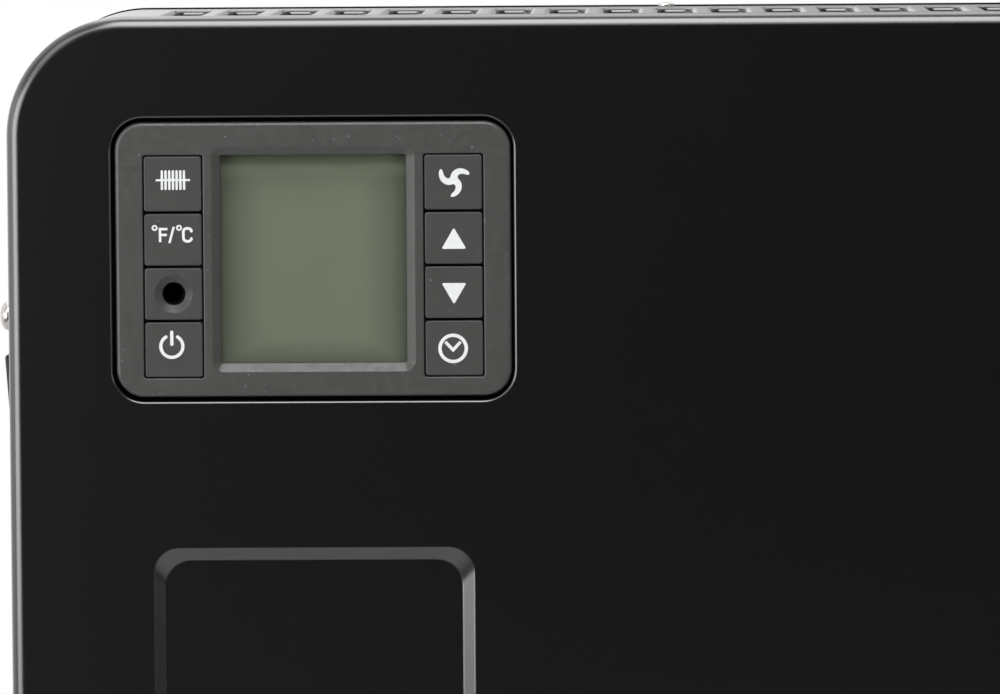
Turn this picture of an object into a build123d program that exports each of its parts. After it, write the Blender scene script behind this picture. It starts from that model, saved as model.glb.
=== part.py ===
from build123d import *
import math
import os

# Panel convector heater on two feet. Millimetres, X to the right, Y to the back,
# Z up. The origin lies on the floor below the middle of the body.

# Overall sizes.
body_width = 634.0
body_height = 400.0
body_depth = 100.0
ground_gap = 35.0
corner_radius = 32.5
edge_roll = 3.3
chamfer_share = 0.6
sheet = 0.8

# Clearances and cuts.
seat_gap = 0.2
cut_overrun = 1.0
fit_play = 0.05

# Front and rear panels: a rolled edge with a short return all round.
panel_return = 8.0
panel_seam = 0.4
lap = 5.0

# Pressed recesses of the front panel, measured from the edges of the body.
recess_width = 88.1
recess_top_drop = 145.0
recess_bottom_rise = 50.0
recess_depth = 3.2
recess_slope = 3.6
recess_radius = 7.0
recess_inset = 82.8
recess_count = 3

# Opening for the control unit in the front panel.
opening_side_gap = 1.55
opening_end_gap = 1.15
opening_radius = 8.6
opening_top_drop = 27.9
opening_lip = 4.0
opening_bend = 1.2

# Outlet grille in the top, with turned-in rims.
slot_pitch = 15.0
slot_width = 9.5
slot_length = 64.0
slot_front_drop = 9.6
slot_rim_depth = 3.0
slot_side_margin = 39.0

# Intake slots in the base plate.
intake_pitch = 15.0
intake_width = 8.0
intake_length = 62.0
intake_side_margin = 110.0

# Rear panel field and its vents.
field_side_margin = 57.0
field_end_margin = 50.0
field_depth = 3.0
field_slope = 5.0
field_radius = 16.0
vent_length = 84.0
vent_width = 5.0
vent_pitch = 14.0
vent_column_pitch = 118.0
vent_rows = 3
vent_row_edge = 30.0

# Base plate.
base_end_inset = 34.5
base_hem = 6.0

# Uprights, one inside each end of the body.
upright_web = 60.0
upright_inset = 2.0
upright_reach = 47.5
upright_flange = 14.0
upright_sheet = 1.2
upright_corner_drop = 36.0
upright_foot = 16.0

# Rail under the top, behind the grille.
rail_setback = 81.0
rail_depth = 12.0
rail_drop = 12.0
rail_end_margin = 82.0

# Control bezel.
bezel_width = 107.5
bezel_height = 74.7
bezel_radius = 7.5
bezel_shift = 0.5
bezel_setback = 0.4
bezel_edge_bend = 1.1
bezel_wall = 2.0
bezel_depth = 9.6
bezel_flange = 6.0
bezel_flange_thick = 2.0

# Display window in the bezel.
window_side_margin = 28.4
window_end_margin = 8.95
window_radius = 3.0
window_bevel = 2.2
window_bevel_depth = 2.6
window_frame_wall = 1.6
window_frame_depth = 1.4
lens_overlap = 1.2
lens_thick = 1.2
lcd_border = 2.4
lcd_frame_lip = 0.7

# Key columns.
column_margin = 15.35
column_drop = 1.6
cell_width = 16.2
cell_pitch = 15.0
cells = 4
column_radius = 0.8
key_play = 0.3
key_gap = 0.55
key_tab = 1.1
key_tab_thick = 1.0
key_tab_height = 8.0
key_stem = 3.6
key_travel = 0.6
tab_play = 0.05

# Receiver tile.
dish_radius = 5.2
dish_mouth_radius = 3.1
dish_depth = 1.5
receiver_radius = 2.6
receiver_setback = 1.2
receiver_body = 5.6
receiver_cell = 2

# Control board and cover.
board_margin = 3.0
board_thick = 1.6
switch_body = 6.0
switch_height = 1.9
switch_base_share = 0.6
switch_button = 3.0
board_post = 5.2
board_post_inset = 4.4
cover_wall = 1.8
cover_depth = 24.0
cover_bend = 2.5
cover_vents = 7
cover_vent_pitch = 10.0
cover_vent_length = 40.0
cover_vent_width = 3.0

# Keys: column (-1 left, 1 right), cell from the top, node name.
key_list = [
    (-1, 0, "key_heat"),
    (-1, 1, "key_units"),
    (-1, 3, "key_power"),
    (1, 0, "key_fan"),
    (1, 1, "key_up"),
    (1, 2, "key_down"),
    (1, 3, "key_timer"),
]

# Rocker switch in the left end.
rocker_length = 30.0
rocker_width = 12.0
rocker_pivot_depth = 5.0
rocker_face_rise = 2.2
rocker_ridge = 1.0
rocker_swing_room = 3.0
rocker_tilt = 8.0
rocker_bottom = 4.2
rocker_play = 0.35
rocker_pin_radius = 1.3
rocker_pin_length = 1.2
rocker_pin_play = 0.05
rocker_drop = 109.0
switch_flange = 2.6
switch_flange_thick = 1.4
switch_wall = 1.5
switch_depth = 20.0
blade_width = 4.8
blade_thick = 0.8
blade_length = 7.0
blade_pitch = 10.0

# Finned heating element.
element_rise = 84.0
element_end_margin = 101.0
element_tube_radius = 4.0
element_core = 11.0
fin_count = 22
fin_width = 20.0
fin_depth = 44.0
fin_thick = 0.8
fin_end_margin = 30.0
element_pin_radius = 1.8
element_pin_length = 14.0
bush_width = 13.0
bush_length = 12.0

# Element brackets.
bracket_top_rise = 104.0
bracket_foot = 14.0
bracket_sheet = 1.0
bracket_hole_play = 0.1
bracket_lip = 14.0

# Baffles that make the chimney round the element.
baffle_offset = 34.0
baffle_height = 78.0
baffle_low = 52.0
baffle_sheet = 0.6
baffle_lip = 6.0

# Fan.
fan_size = 80.0
fan_depth = 25.0
fan_bore_radius = 37.0
fan_waist = 2.0
fan_corner = 9.0
fan_struts = 3
fan_strut_turn = 30.0
fan_blade_tip_play = 1.2
fan_flange = 3.0
fan_strut_width = 5.0
fan_strut_thick = 2.6
fan_motor_radius = 15.0
fan_motor_height = 9.0
fan_hub_radius = 16.5
fan_hub_height = 10.0
fan_hub_wall = 1.6
fan_shaft_radius = 1.5
fan_shaft_play = 0.04
fan_blades = 5
fan_blade_thick = 1.2
fan_blade_angle = 28.0
fan_blade_chord = 17.0
fan_gap = 1.0

# Thermal cut-out on the rear baffle.
cutout_radius = 8.0
cutout_height = 9.0
cutout_flange_length = 28.0
cutout_flange = 1.0
cutout_inset = 66.0
cutout_rise = 104.0
cutout_blade = 6.0

# Tip-over switch.
tip_gap = 6.0
tip_width = 26.0
tip_depth = 14.0
tip_height = 34.0
tip_wall = 1.6
tip_pin_radius = 1.5
tip_pin_play = 0.05
tip_bob = 8.0
tip_bob_height = 7.0
tip_rod = 2.4
tip_eye = 3.0
tip_eye_length = 6.0
tip_pin_room = 1.6
tip_rod_length = 12.0

# Power board with its relays.
power_length = 96.0
power_height = 70.0
power_thick = 1.6
power_rise_z = 165.0
power_inset = 127.0
relay_length = 19.0
relay_width = 15.0
relay_height = 16.0
relay_count = 3
relay_pitch = 23.0
relay_rise = 17.5
chip_length = 48.0
chip_width = 7.5
chip_height = 8.0
chip_drop = 17.5
post_width = 6.0
post_length = 8.0
post_edge = 6.0

# Cord inlet: a bushing in the rear panel.
inlet_inset = 51.0
inlet_rise = 32.0
inlet_bore_radius = 4.0
inlet_body = 13.0
inlet_head = 19.0
inlet_flange = 2.4
inlet_length = 14.0
inlet_barb = 0.8
inlet_hook_height = 6.5

# Terminal block beside the inlet.
terminal_length = 34.0
terminal_width = 17.0
terminal_height = 14.0
terminal_gap = 6.0
terminal_ways = 3
terminal_well = 5.0

# Room sensor low in the right end.
sensor_size = 4.8
sensor_length = 16.0
sensor_clip_width = 10.0
sensor_clip_sheet = 1.0
sensor_inset = 44.0
sensor_setback = 12.0

# Feet.
foot_length = 220.0
foot_width = 44.0
foot_crown = 88.0
foot_tip_height = 13.0
foot_wall = 2.4
foot_toe_bend = 6.0
foot_inset = 59.0
foot_boss_pitch = 52.0
foot_boss = 12.0
foot_well = 9.0
foot_seat = 4.0
foot_rib = 2.0
foot_rib_pitch = 96.0
foot_ribs = 2
pad_height = 2.5
pad_length = 18.0
pad_width = 30.0
pad_setback = 16.0

# Levels that follow.
front_y = -body_depth / 2
rear_y = body_depth / 2
left_x = -body_width / 2
bottom_z = ground_gap
top_z = bottom_z + body_height
middle_z = bottom_z + body_height / 2
wrap_front = front_y + panel_return + panel_seam
wrap_rear = rear_y - panel_return - panel_seam
base_z = bottom_z + sheet + seat_gap
inside_z = base_z + sheet
control_x = left_x + recess_inset
opening_width = bezel_width + 2 * opening_side_gap
opening_height = bezel_height + 2 * opening_end_gap
opening_z = top_z - opening_top_drop - opening_height / 2
bezel_x = control_x + bezel_shift
bezel_y = front_y + bezel_setback
column_z = opening_z - column_drop
column_offset = bezel_width / 2 - column_margin
window_width = bezel_width - 2 * window_side_margin
window_height = bezel_height - 2 * window_end_margin
lcd_thick = bezel_depth - bezel_wall - window_frame_depth - lens_thick
field_width = body_width - 2 * field_side_margin
field_height = body_height - 2 * field_end_margin
vent_columns = int(field_width / vent_column_pitch)
element_half_length = body_width / 2 - element_end_margin
fin_span = element_half_length - fin_end_margin
bracket_x = element_half_length - bush_length / 2
cutout_x = element_half_length - cutout_inset
tip_x = tip_gap + tip_width / 2 - bracket_x
terminal_x = bracket_x - terminal_gap - terminal_width / 2
inlet_x = body_width / 2 - inlet_inset
foot_x = body_width / 2 - foot_inset
recess_height = body_height - recess_top_drop - recess_bottom_rise
recess_z = bottom_z + recess_bottom_rise + recess_height / 2
recess_centres = [
    left_x + recess_inset + i * (body_width - 2 * recess_inset) / (recess_count - 1)
    for i in range(recess_count)
]


def facing(y):
    """Plane at depth y seen from the front: sketch x is X, sketch y is Z."""
    return Plane(origin=(0, y, 0), x_dir=(1, 0, 0), z_dir=(0, -1, 0))


def slab(outline, y_near, y_far):
    """Solid of a front-view outline between two depths."""
    return extrude(facing(y_far) * outline, amount=y_far - y_near)


def plate(outline, z_low, z_high):
    """Solid of a plan outline between two heights."""
    return extrude(Plane.XY.offset(z_low) * outline, amount=z_high - z_low)


def bar(outline, x_low, x_high):
    """Solid of a side-view outline (Y, Z) between two X places."""
    side = Plane(origin=(x_low, 0, 0), x_dir=(0, 1, 0), z_dir=(1, 0, 0))
    return extrude(side * outline, amount=x_high - x_low)


def rod(start, direction, radius, length):
    """Round bar from a point along a direction."""
    return extrude(Plane(origin=start, z_dir=direction) * Circle(radius), amount=length)


def body_outline(inset):
    """Front outline of the body, drawn in by an inset."""
    return Pos(0, middle_z) * RectangleRounded(
        body_width - 2 * inset, body_height - 2 * inset, corner_radius - inset
    )


def hoop(outer_inset, inner_inset, y_near, y_far):
    """Band that follows the body's outline."""
    return slab(body_outline(outer_inset) - body_outline(inner_inset), y_near, y_far)


def pressed_form(outline, y_start, depth, slope):
    """Tapered tool that presses an outline inwards from the front plane y_start."""
    taper = math.degrees(math.atan2(slope, abs(depth)))
    return extrude(facing(y_start) * outline, amount=-depth, taper=taper)


def edge_tray():
    """Flat panel with its return all round, and the room inside it."""
    shell = slab(body_outline(0), front_y, front_y + panel_return)
    room = slab(body_outline(sheet), front_y + sheet, front_y + panel_return + cut_overrun)
    return shell, chamfer(room.edges().group_by(Axis.Y)[0], (edge_roll - sheet) * chamfer_share)


def opening_rim(shell):
    """Front edges of the control opening."""
    near = shell.edges().filter_by_position(Axis.Y, front_y - seat_gap, front_y + seat_gap)
    reach = opening_width / 2 + sheet
    return [
        edge for edge in near
        if abs(edge.center().X - control_x) < reach and abs(edge.center().Z - opening_z) < reach
    ]


def recess(x):
    """Outer face of one pressed recess."""
    outline = Pos(x, recess_z) * RectangleRounded(recess_width, recess_height, recess_radius)
    return pressed_form(outline, front_y, recess_depth, recess_slope)


def recess_back(x):
    """Inner face of one pressed recess, a sheet behind the outer face."""
    outline = Pos(x, recess_z) * Rectangle(recess_width + 2 * sheet, recess_height + 2 * sheet)
    return pressed_form(outline, front_y, recess_depth + sheet, recess_slope)


def opening_outline(growth):
    return Pos(control_x, opening_z) * RectangleRounded(
        opening_width + 2 * growth, opening_height + 2 * growth, opening_radius + growth
    )


def make_front_panel():
    shell, room = edge_tray()
    shell = fillet(shell.edges().group_by(Axis.Y)[0], edge_roll)
    for x in recess_centres:
        room -= recess_back(x)
    room -= slab(opening_outline(sheet), front_y, front_y + opening_lip)
    shell -= room
    for x in recess_centres:
        shell -= recess(x)
    shell -= slab(opening_outline(0), front_y - cut_overrun, front_y + panel_return)
    return chamfer(opening_rim(shell), opening_bend * chamfer_share)


def row_places(pitch, margin):
    """Places of a centred row that keeps a margin at both ends of the body."""
    count = int((body_width - 2 * margin) / pitch)
    return [(i - (count - 1) / 2) * pitch for i in range(count)]


def slot_cutter():
    """Outlet slot, centred on X."""
    y = front_y + slot_front_drop + slot_length / 2
    outline = Pos(0, y) * Rectangle(slot_width, slot_length)
    return plate(outline, top_z - slot_rim_depth - cut_overrun, top_z + cut_overrun)


def slot_rim():
    """Turned-in rim round one outlet slot."""
    y = front_y + slot_front_drop + slot_length / 2
    outline = Pos(0, y) * Rectangle(slot_width + 2 * sheet, slot_length + 2 * sheet)
    return plate(outline, top_z - slot_rim_depth, top_z - sheet / 2)


def edge_laps():
    """Lips joggled inwards from the wrap's edges, on the straight runs between the corners."""
    outer = sheet + seat_gap
    laps = hoop(0, outer + sheet, wrap_front, wrap_front + sheet)
    laps += hoop(outer, outer + sheet, wrap_front - lap, wrap_front + sheet)
    laps += mirror(laps, Plane.XZ)
    long_run = Rectangle(body_width - 2 * corner_radius, body_height)
    tall_run = Rectangle(body_width, body_height - 2 * corner_radius)
    return laps & slab(Pos(0, middle_z) * (long_run + tall_run), front_y, rear_y)


def make_body_wrap():
    """Strip bent round the body, with the outlet grille in its top and a gap for the base plate."""
    wrap = hoop(0, sheet, wrap_front, wrap_rear)
    wrap += edge_laps()
    places = row_places(slot_pitch, slot_side_margin)
    wrap += [Pos(x, 0, 0) * slot_rim() for x in places]
    wrap -= [Pos(x, 0, 0) * slot_cutter() for x in places]
    gap = Rectangle(body_width - 2 * base_end_inset, body_depth)
    wrap -= plate(gap, bottom_z - cut_overrun, bottom_z + panel_return)
    return wrap - switch_cut()


def foot_boss_places():
    return [-foot_boss_pitch / 2, foot_boss_pitch / 2]


def rear_field():
    """Outer face of the pressed field of the rear panel."""
    outline = rect(0, middle_z, field_width, field_height, field_radius)
    return pressed_form(outline, rear_y, -field_depth, field_slope)


def rear_field_back():
    """Inner face of the pressed field, a sheet in front of the outer face."""
    outline = Pos(0, middle_z) * Rectangle(field_width + 2 * sheet, field_height + 2 * sheet)
    return pressed_form(outline, rear_y, -field_depth - sheet, field_slope)


def vent_places():
    places = []
    for column in range(vent_columns):
        x = (column - (vent_columns - 1) / 2) * vent_column_pitch
        for row in range(vent_rows):
            rise = vent_row_edge + row * vent_pitch
            places.append((x, middle_z - field_height / 2 + rise))
            places.append((x, middle_z + field_height / 2 - rise))
    return places


def make_rear_panel():
    shell, room = edge_tray()
    shell = chamfer(shell.edges().group_by(Axis.Y)[0], edge_roll * chamfer_share)
    room = mirror(room, Plane.XZ) - rear_field_back()
    panel = mirror(shell, Plane.XZ) - room - rear_field()
    y_inner = rear_y - field_depth - sheet - cut_overrun
    vent = slab(Rectangle(vent_length, vent_width), y_inner, rear_y)
    panel -= [Pos(x, 0, z) * vent for x, z in vent_places()]
    inlet_hole = inlet_body + 2 * seat_gap
    hole = Pos(inlet_x, bottom_z + inlet_rise) * Rectangle(inlet_hole, inlet_hole)
    return panel - slab(hole, rear_y - panel_return, rear_y + cut_overrun)


def make_base_plate():
    half = body_width / 2 - base_end_inset - seat_gap
    depth = body_depth - 2 * (edge_roll + seat_gap)
    base = plate(Rectangle(2 * half, depth), base_z, inside_z)
    for side in (-1, 1):
        hem_y = side * (depth - sheet) / 2
        base += plate(Pos(0, hem_y) * Rectangle(2 * half, sheet), base_z, base_z + base_hem)
    slot = plate(Rectangle(intake_width, intake_length), base_z - cut_overrun, inside_z + cut_overrun)
    return base - [Pos(x, 0, 0) * slot for x in row_places(intake_pitch, intake_side_margin)]


def make_upright(side):
    """Inner channel at one end of the body, stepping in to stand on the base plate."""
    high = top_z - upright_corner_drop
    shelf = bottom_z + upright_corner_drop
    outer = body_width / 2 - upright_inset
    leg = body_width / 2 - upright_corner_drop
    reach = upright_reach
    web = plate(Pos(outer - upright_sheet / 2, 0) * Rectangle(upright_sheet, 2 * reach), shelf, high)
    for way in (-1, 1):
        spot = Pos(outer - upright_flange / 2, way * (reach - upright_sheet / 2))
        web += plate(spot * Rectangle(upright_flange, upright_sheet), shelf, high)
    step = Rectangle(outer - leg, upright_web)
    web += plate(Pos((outer + leg) / 2, 0) * step, shelf, shelf + upright_sheet)
    leg_outline = Pos(leg + upright_sheet / 2, 0) * Rectangle(upright_sheet, upright_web)
    web += plate(leg_outline, inside_z, shelf + upright_sheet)
    foot = Pos(leg + upright_sheet - upright_foot / 2, 0) * Rectangle(upright_foot, upright_web)
    web += plate(foot, inside_z, inside_z + upright_sheet)
    if side < 0:
        web = mirror(web, Plane.YZ)
    return web - switch_cut() if side < 0 else web


def make_top_rail():
    """Angle that stiffens the top behind the outlet grille."""
    y = front_y + rail_setback
    high = top_z - sheet
    length = body_width - 2 * rail_end_margin
    level = plate(Pos(0, y) * Rectangle(length, rail_depth), high - upright_sheet, high)
    drop = Pos(0, y + (rail_depth - upright_sheet) / 2) * Rectangle(length, upright_sheet)
    return level + plate(drop, high - rail_drop, high)


def rect(x, z, width, height, radius):
    return Pos(x, z) * RectangleRounded(width, height, radius)


def bezel_outline(inset):
    return rect(bezel_x, opening_z, bezel_width - 2 * inset, bezel_height - 2 * inset, bezel_radius - inset)


def column_outline(side):
    x = bezel_x + side * column_offset
    return rect(x, column_z, cell_width, cells * cell_pitch, column_radius)


def board_corners():
    """Places of the posts that the board rests on, as X and Z."""
    half_x = bezel_width / 2 - board_post_inset
    half_z = bezel_height / 2 - board_post_inset
    return [(bezel_x + sx * half_x, opening_z + sz * half_z) for sx in (-1, 1) for sz in (-1, 1)]


def make_control_bezel():
    back = bezel_y + bezel_depth
    block = slab(bezel_outline(0), bezel_y, back)
    block = chamfer(block.edges().group_by(Axis.Y)[0], bezel_edge_bend * chamfer_share)
    seat = front_y + opening_lip
    spot = Pos(bezel_x, opening_z)
    flange = spot * Rectangle(bezel_width + 2 * bezel_flange, bezel_height + 2 * bezel_flange)
    block += slab(flange, seat, seat + bezel_flange_thick)
    room = spot * Rectangle(bezel_width - 2 * bezel_wall, bezel_height - 2 * bezel_wall)
    hollow = slab(room, bezel_y + bezel_wall, back + cut_overrun)
    frame = spot * Rectangle(window_width + 2 * window_frame_wall, window_height + 2 * window_frame_wall)
    hollow -= slab(frame, bezel_y, bezel_y + bezel_wall + window_frame_depth)
    for x, z in board_corners():
        hollow -= slab(Pos(x, z) * Rectangle(board_post, board_post), bezel_y, back)
    block -= hollow
    mouth_width = window_width + 2 * window_bevel
    mouth = rect(bezel_x, opening_z, mouth_width, window_height + 2 * window_bevel, window_radius)
    block -= pressed_form(mouth, bezel_y, window_bevel_depth, window_bevel)
    block -= window_plate(0, bezel_y, back)
    for side in (-1, 1):
        block -= slab(column_outline(side), bezel_y - cut_overrun, back)
    return block


def lens_y():
    return bezel_y + bezel_wall + window_frame_depth


def window_plate(growth, y_near, y_far):
    """Square-cornered plate over the window opening."""
    outline = Pos(bezel_x, opening_z) * Rectangle(window_width + 2 * growth, window_height + 2 * growth)
    return slab(outline, y_near, y_far)


def make_display_window():
    return window_plate(lens_overlap, lens_y(), lens_y() + lens_thick)


def make_display_module():
    """Liquid crystal cell and the frame round it, behind the window."""
    near = lens_y() + lens_thick
    cell = window_plate(lcd_frame_lip, near, near + lcd_thick)
    rim = window_plate(lcd_border, near, near + lcd_thick)
    return cell, rim - window_plate(lcd_frame_lip + fit_play, near, near + lcd_thick)


def cell_z(index):
    return column_z + ((cells - 1) / 2 - index) * cell_pitch


def cell_outline(side, index):
    place = Pos(bezel_x + side * column_offset, cell_z(index))
    return place * Rectangle(cell_width - 2 * key_play, cell_pitch - key_gap)


def make_key(side, index):
    """Key cap with its side tabs and the stem that works the switch."""
    x = bezel_x + side * column_offset
    z = cell_z(index)
    tab_y = bezel_y + bezel_wall + tab_play
    cap = slab(cell_outline(side, index), bezel_y, tab_y + key_tab_thick)
    tabs = Pos(x, z) * Rectangle(cell_width + 2 * key_tab, key_tab_height)
    cap += slab(tabs, tab_y, tab_y + key_tab_thick)
    stem = Pos(x, z) * Rectangle(key_stem, key_stem)
    return cap + slab(stem, tab_y, board_y() - switch_height - key_travel - tab_play)


def make_receiver_tile():
    """Fixed tile in the left column with the dished window of the remote receiver."""
    x = bezel_x - column_offset
    z = cell_z(receiver_cell)
    tab_y = bezel_y + bezel_wall
    tile = slab(cell_outline(-1, receiver_cell), bezel_y, tab_y + key_tab_thick)
    tabs = Pos(x, z) * Rectangle(cell_width + 2 * key_tab, key_tab_height)
    tile += slab(tabs, tab_y, tab_y + key_tab_thick)
    slope = dish_radius - dish_mouth_radius
    tile -= pressed_form(Pos(x, z) * Circle(dish_radius), bezel_y, dish_depth, slope)
    return tile - rod((x, bezel_y, z), (0, 1, 0), dish_mouth_radius, bezel_depth)


def board_y():
    return bezel_y + bezel_depth


def make_control_board():
    board = slab(bezel_outline(board_margin - bezel_wall), board_y(), board_y() + board_thick)
    for side, index, name in key_list:
        spot = Pos(bezel_x + side * column_offset, cell_z(index))
        base_y = board_y() - switch_height * switch_base_share
        board += slab(spot * Rectangle(switch_body, switch_body), base_y, board_y())
        button = spot * Rectangle(switch_button, switch_button)
        board += slab(button, board_y() - switch_height, board_y())
    return board


def make_receiver():
    """Dark receiver on the board, with its lens behind the tile's dish."""
    x = bezel_x - column_offset
    z = cell_z(receiver_cell)
    tip = bezel_y + dish_depth + receiver_setback
    body = slab(Pos(x, z) * Rectangle(receiver_body, receiver_body), board_y() - receiver_body, board_y())
    return body + rod((x, tip, z), (0, 1, 0), receiver_radius, board_y() - receiver_body - tip)


def make_control_cover():
    """Rear cover of the control unit, seated on the bezel's flange, with its vents."""
    seat = front_y + opening_lip + bezel_flange_thick
    far = seat + cover_depth
    wide = bezel_width + 2 * bezel_flange
    tall = bezel_height + 2 * bezel_flange
    spot = Pos(bezel_x, opening_z)
    shell = slab(spot * Rectangle(wide, tall), seat, far)
    shell = chamfer(shell.edges().group_by(Axis.Y)[-1], cover_bend * chamfer_share)
    room = spot * Rectangle(wide - 2 * cover_wall, tall - 2 * cover_wall)
    shell -= slab(room, seat - cut_overrun, far - cover_wall)
    vent = slab(spot * Rectangle(cover_vent_width, cover_vent_length), far - cover_wall - cut_overrun, far)
    middle = (cover_vents - 1) / 2
    return shell - [Pos((i - middle) * cover_vent_pitch, 0, 0) * vent for i in range(cover_vents)]


def rocker_z():
    return top_z - rocker_drop


def side_slab(outline, y_low, y_high):
    """Solid of an (outward, up) outline on the left end, between two depths."""
    frame = Plane(origin=(left_x, y_low, rocker_z()), x_dir=(-1, 0, 0), z_dir=(0, 1, 0))
    return extrude(frame * outline, amount=y_high - y_low)


def rocker_reach():
    return math.hypot(rocker_length / 2, rocker_pivot_depth + rocker_face_rise)


def make_switch_rocker():
    """Rocker with a ridged face, tipped about its side pins with the upper half raised."""
    half = rocker_length / 2
    reach = rocker_reach()
    rise = rocker_pivot_depth + rocker_face_rise
    foot_reach = math.sqrt(reach**2 - rocker_bottom**2)
    face = Polyline((rise, half), (rise + rocker_ridge, 0), (rise, -half))
    ends = [
        ThreePointArc((rise, half), (0, reach), (-rocker_bottom, foot_reach)),
        ThreePointArc((rise, -half), (0, -reach), (-rocker_bottom, -foot_reach)),
        Line((-rocker_bottom, foot_reach), (-rocker_bottom, -foot_reach)),
    ]
    outline = make_face(face + ends)
    pivot = Pos(-rocker_pivot_depth, 0) * Rot(0, 0, -rocker_tilt)
    body = side_slab(pivot * outline, -rocker_width / 2, rocker_width / 2)
    pin_reach = rocker_width / 2 + rocker_pin_length
    pin = side_slab(Pos(-rocker_pivot_depth, 0) * Circle(rocker_pin_radius), -pin_reach, pin_reach)
    return body + pin


def switch_body_size(growth):
    """Half sizes of the switch body behind the left end: along Z and along Y."""
    half_z = rocker_reach() + rocker_play + switch_wall + growth
    half_y = rocker_width / 2 + rocker_play + switch_wall + growth
    return half_z, half_y


def switch_cut():
    half_z, half_y = switch_body_size(seat_gap)
    depth = upright_inset + upright_sheet + cut_overrun
    block = Rectangle(2 * depth, 2 * half_z)
    return side_slab(block, -half_y, half_y)


def make_switch_housing():
    half_z, half_y = switch_body_size(0)
    body = side_slab(Pos(-switch_depth / 2, 0) * Rectangle(switch_depth, 2 * half_z), -half_y, half_y)
    frame = Pos(switch_flange_thick / 2, 0) * Rectangle(switch_flange_thick, 2 * (half_z + switch_flange))
    body += side_slab(frame, -half_y - switch_flange, half_y + switch_flange)
    cave_low = -rocker_pivot_depth - rocker_bottom - rocker_swing_room
    cave = Pos((switch_flange_thick + cut_overrun + cave_low) / 2, 0) * Rectangle(
        switch_flange_thick + cut_overrun - cave_low, 2 * (rocker_reach() + rocker_play)
    )
    inner_y = rocker_width / 2 + rocker_play
    body -= side_slab(cave, -inner_y, inner_y)
    hole = Pos(-rocker_pivot_depth, 0) * Circle(rocker_pin_radius + rocker_pin_play)
    hole_reach = rocker_width / 2 + rocker_pin_length + rocker_play
    body -= side_slab(hole, -hole_reach, hole_reach)
    blade = Rectangle(blade_length, blade_thick)
    for i in range(-1, 2):
        spot = Pos(-switch_depth - blade_length / 2, i * blade_pitch)
        body += side_slab(spot * blade, -blade_width / 2, blade_width / 2)
    return body


def element_z():
    return bottom_z + element_rise


def make_heating_element():
    """Aluminium core with thin fins, a sheathed round end and a cold pin at both ends."""
    z = element_z()
    half = element_half_length
    element = rod((-half, 0, z), (1, 0, 0), element_tube_radius, 2 * half)
    pins = half + element_pin_length
    element += rod((-pins, 0, z), (1, 0, 0), element_pin_radius, 2 * pins)
    core_end = fin_span + element_core / 2
    element += bar(Pos(0, z) * Rectangle(element_core, element_core), -core_end, core_end)
    pitch = 2 * fin_span / (fin_count - 1)
    fins = []
    fin = Pos(0, z) * Rectangle(fin_depth, fin_width)
    for i in range(fin_count):
        x = -fin_span + i * pitch
        fins.append(bar(fin, x - fin_thick / 2, x + fin_thick / 2))
    return element + fins


def make_element_bushes():
    """Square ceramic bushes that carry the element's ends in their brackets."""
    start = bracket_x - bush_length / 2
    place = Pos(0, element_z())
    bush = bar(place * Rectangle(bush_width, bush_width), start, start + bush_length)
    cut_start = (start - cut_overrun, 0, element_z())
    bush -= rod(cut_start, (1, 0, 0), element_tube_radius + fit_play, bush_length + 2 * cut_overrun)
    return [bush, mirror(bush, Plane.YZ)]


def make_element_bracket(side):
    """Bent bracket that stands on the base plate and carries the element's end."""
    x = bracket_x
    top = bottom_z + bracket_top_rise
    half = baffle_offset
    web = bar(Pos(0, (inside_z + top) / 2) * Rectangle(2 * half, top - inside_z), x, x + bracket_sheet)
    for way in (-1, 1):
        lip = Pos(x + bracket_sheet - bracket_lip / 2, way * (half - bracket_sheet / 2))
        web += plate(lip * Rectangle(bracket_lip, bracket_sheet), inside_z, top)
    foot = Pos(x + bracket_foot / 2, 0) * Rectangle(bracket_foot, 2 * half - 2 * bracket_sheet)
    web += plate(foot, inside_z, inside_z + bracket_sheet)
    window = bush_width + 2 * bracket_hole_play
    web -= bar(Pos(0, element_z()) * Rectangle(window, window), x - cut_overrun, x + bracket_foot)
    return web if side > 0 else mirror(web, Plane.YZ)


def make_baffle(way):
    """Heat shield beside the element, with lips turned outwards top and bottom."""
    low = bottom_z + baffle_low
    high = low + baffle_height
    half = bracket_x + bracket_sheet
    near = baffle_offset
    wall = plate(Pos(0, way * (near + baffle_sheet / 2)) * Rectangle(2 * half, baffle_sheet), low, high)
    for z in (low, high - baffle_sheet):
        lip = Pos(0, way * (near + baffle_lip / 2)) * Rectangle(2 * half, baffle_lip)
        wall += plate(lip, z, z + baffle_sheet)
    return wall


def make_thermal_cutout():
    """Disc thermostat on the outer side of the rear baffle."""
    z = bottom_z + cutout_rise
    y = baffle_offset + baffle_sheet
    flange = Pos(cutout_x, z) * Rectangle(2 * cutout_radius, cutout_flange_length)
    disc = slab(flange, y, y + cutout_flange)
    disc += rod((cutout_x, y, z), (0, 1, 0), cutout_radius, cutout_height)
    blades = Pos(cutout_x, z) * Rectangle(2 * (cutout_radius + cutout_blade), blade_width)
    return disc + slab(blades, y + cutout_height - blade_thick, y + cutout_height)


def make_fan_shroud():
    """Square fan frame with its bore and the three struts that carry the motor."""
    low = inside_z
    top = low + fan_depth
    frame = plate(Rectangle(fan_size, fan_size), low, top)
    waist = fan_size - 2 * fan_corner
    for side in (-1, 1):
        for turn in (0, 90):
            notch = Rot(0, 0, turn) * Pos(side * fan_size / 2, 0) * Rectangle(2 * fan_waist, waist)
            frame -= plate(notch, low + fan_flange, top - fan_flange)
    frame -= plate(Circle(fan_bore_radius), low - cut_overrun, top + cut_overrun)
    strut_length = (fan_size - fan_waist) / 2
    for i in range(fan_struts):
        strut = Rot(0, 0, 360 / fan_struts * i + fan_strut_turn) * Pos(strut_length / 2, 0)
        frame += plate(strut * Rectangle(strut_length, fan_strut_width), top - fan_strut_thick, top)
    return frame


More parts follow.
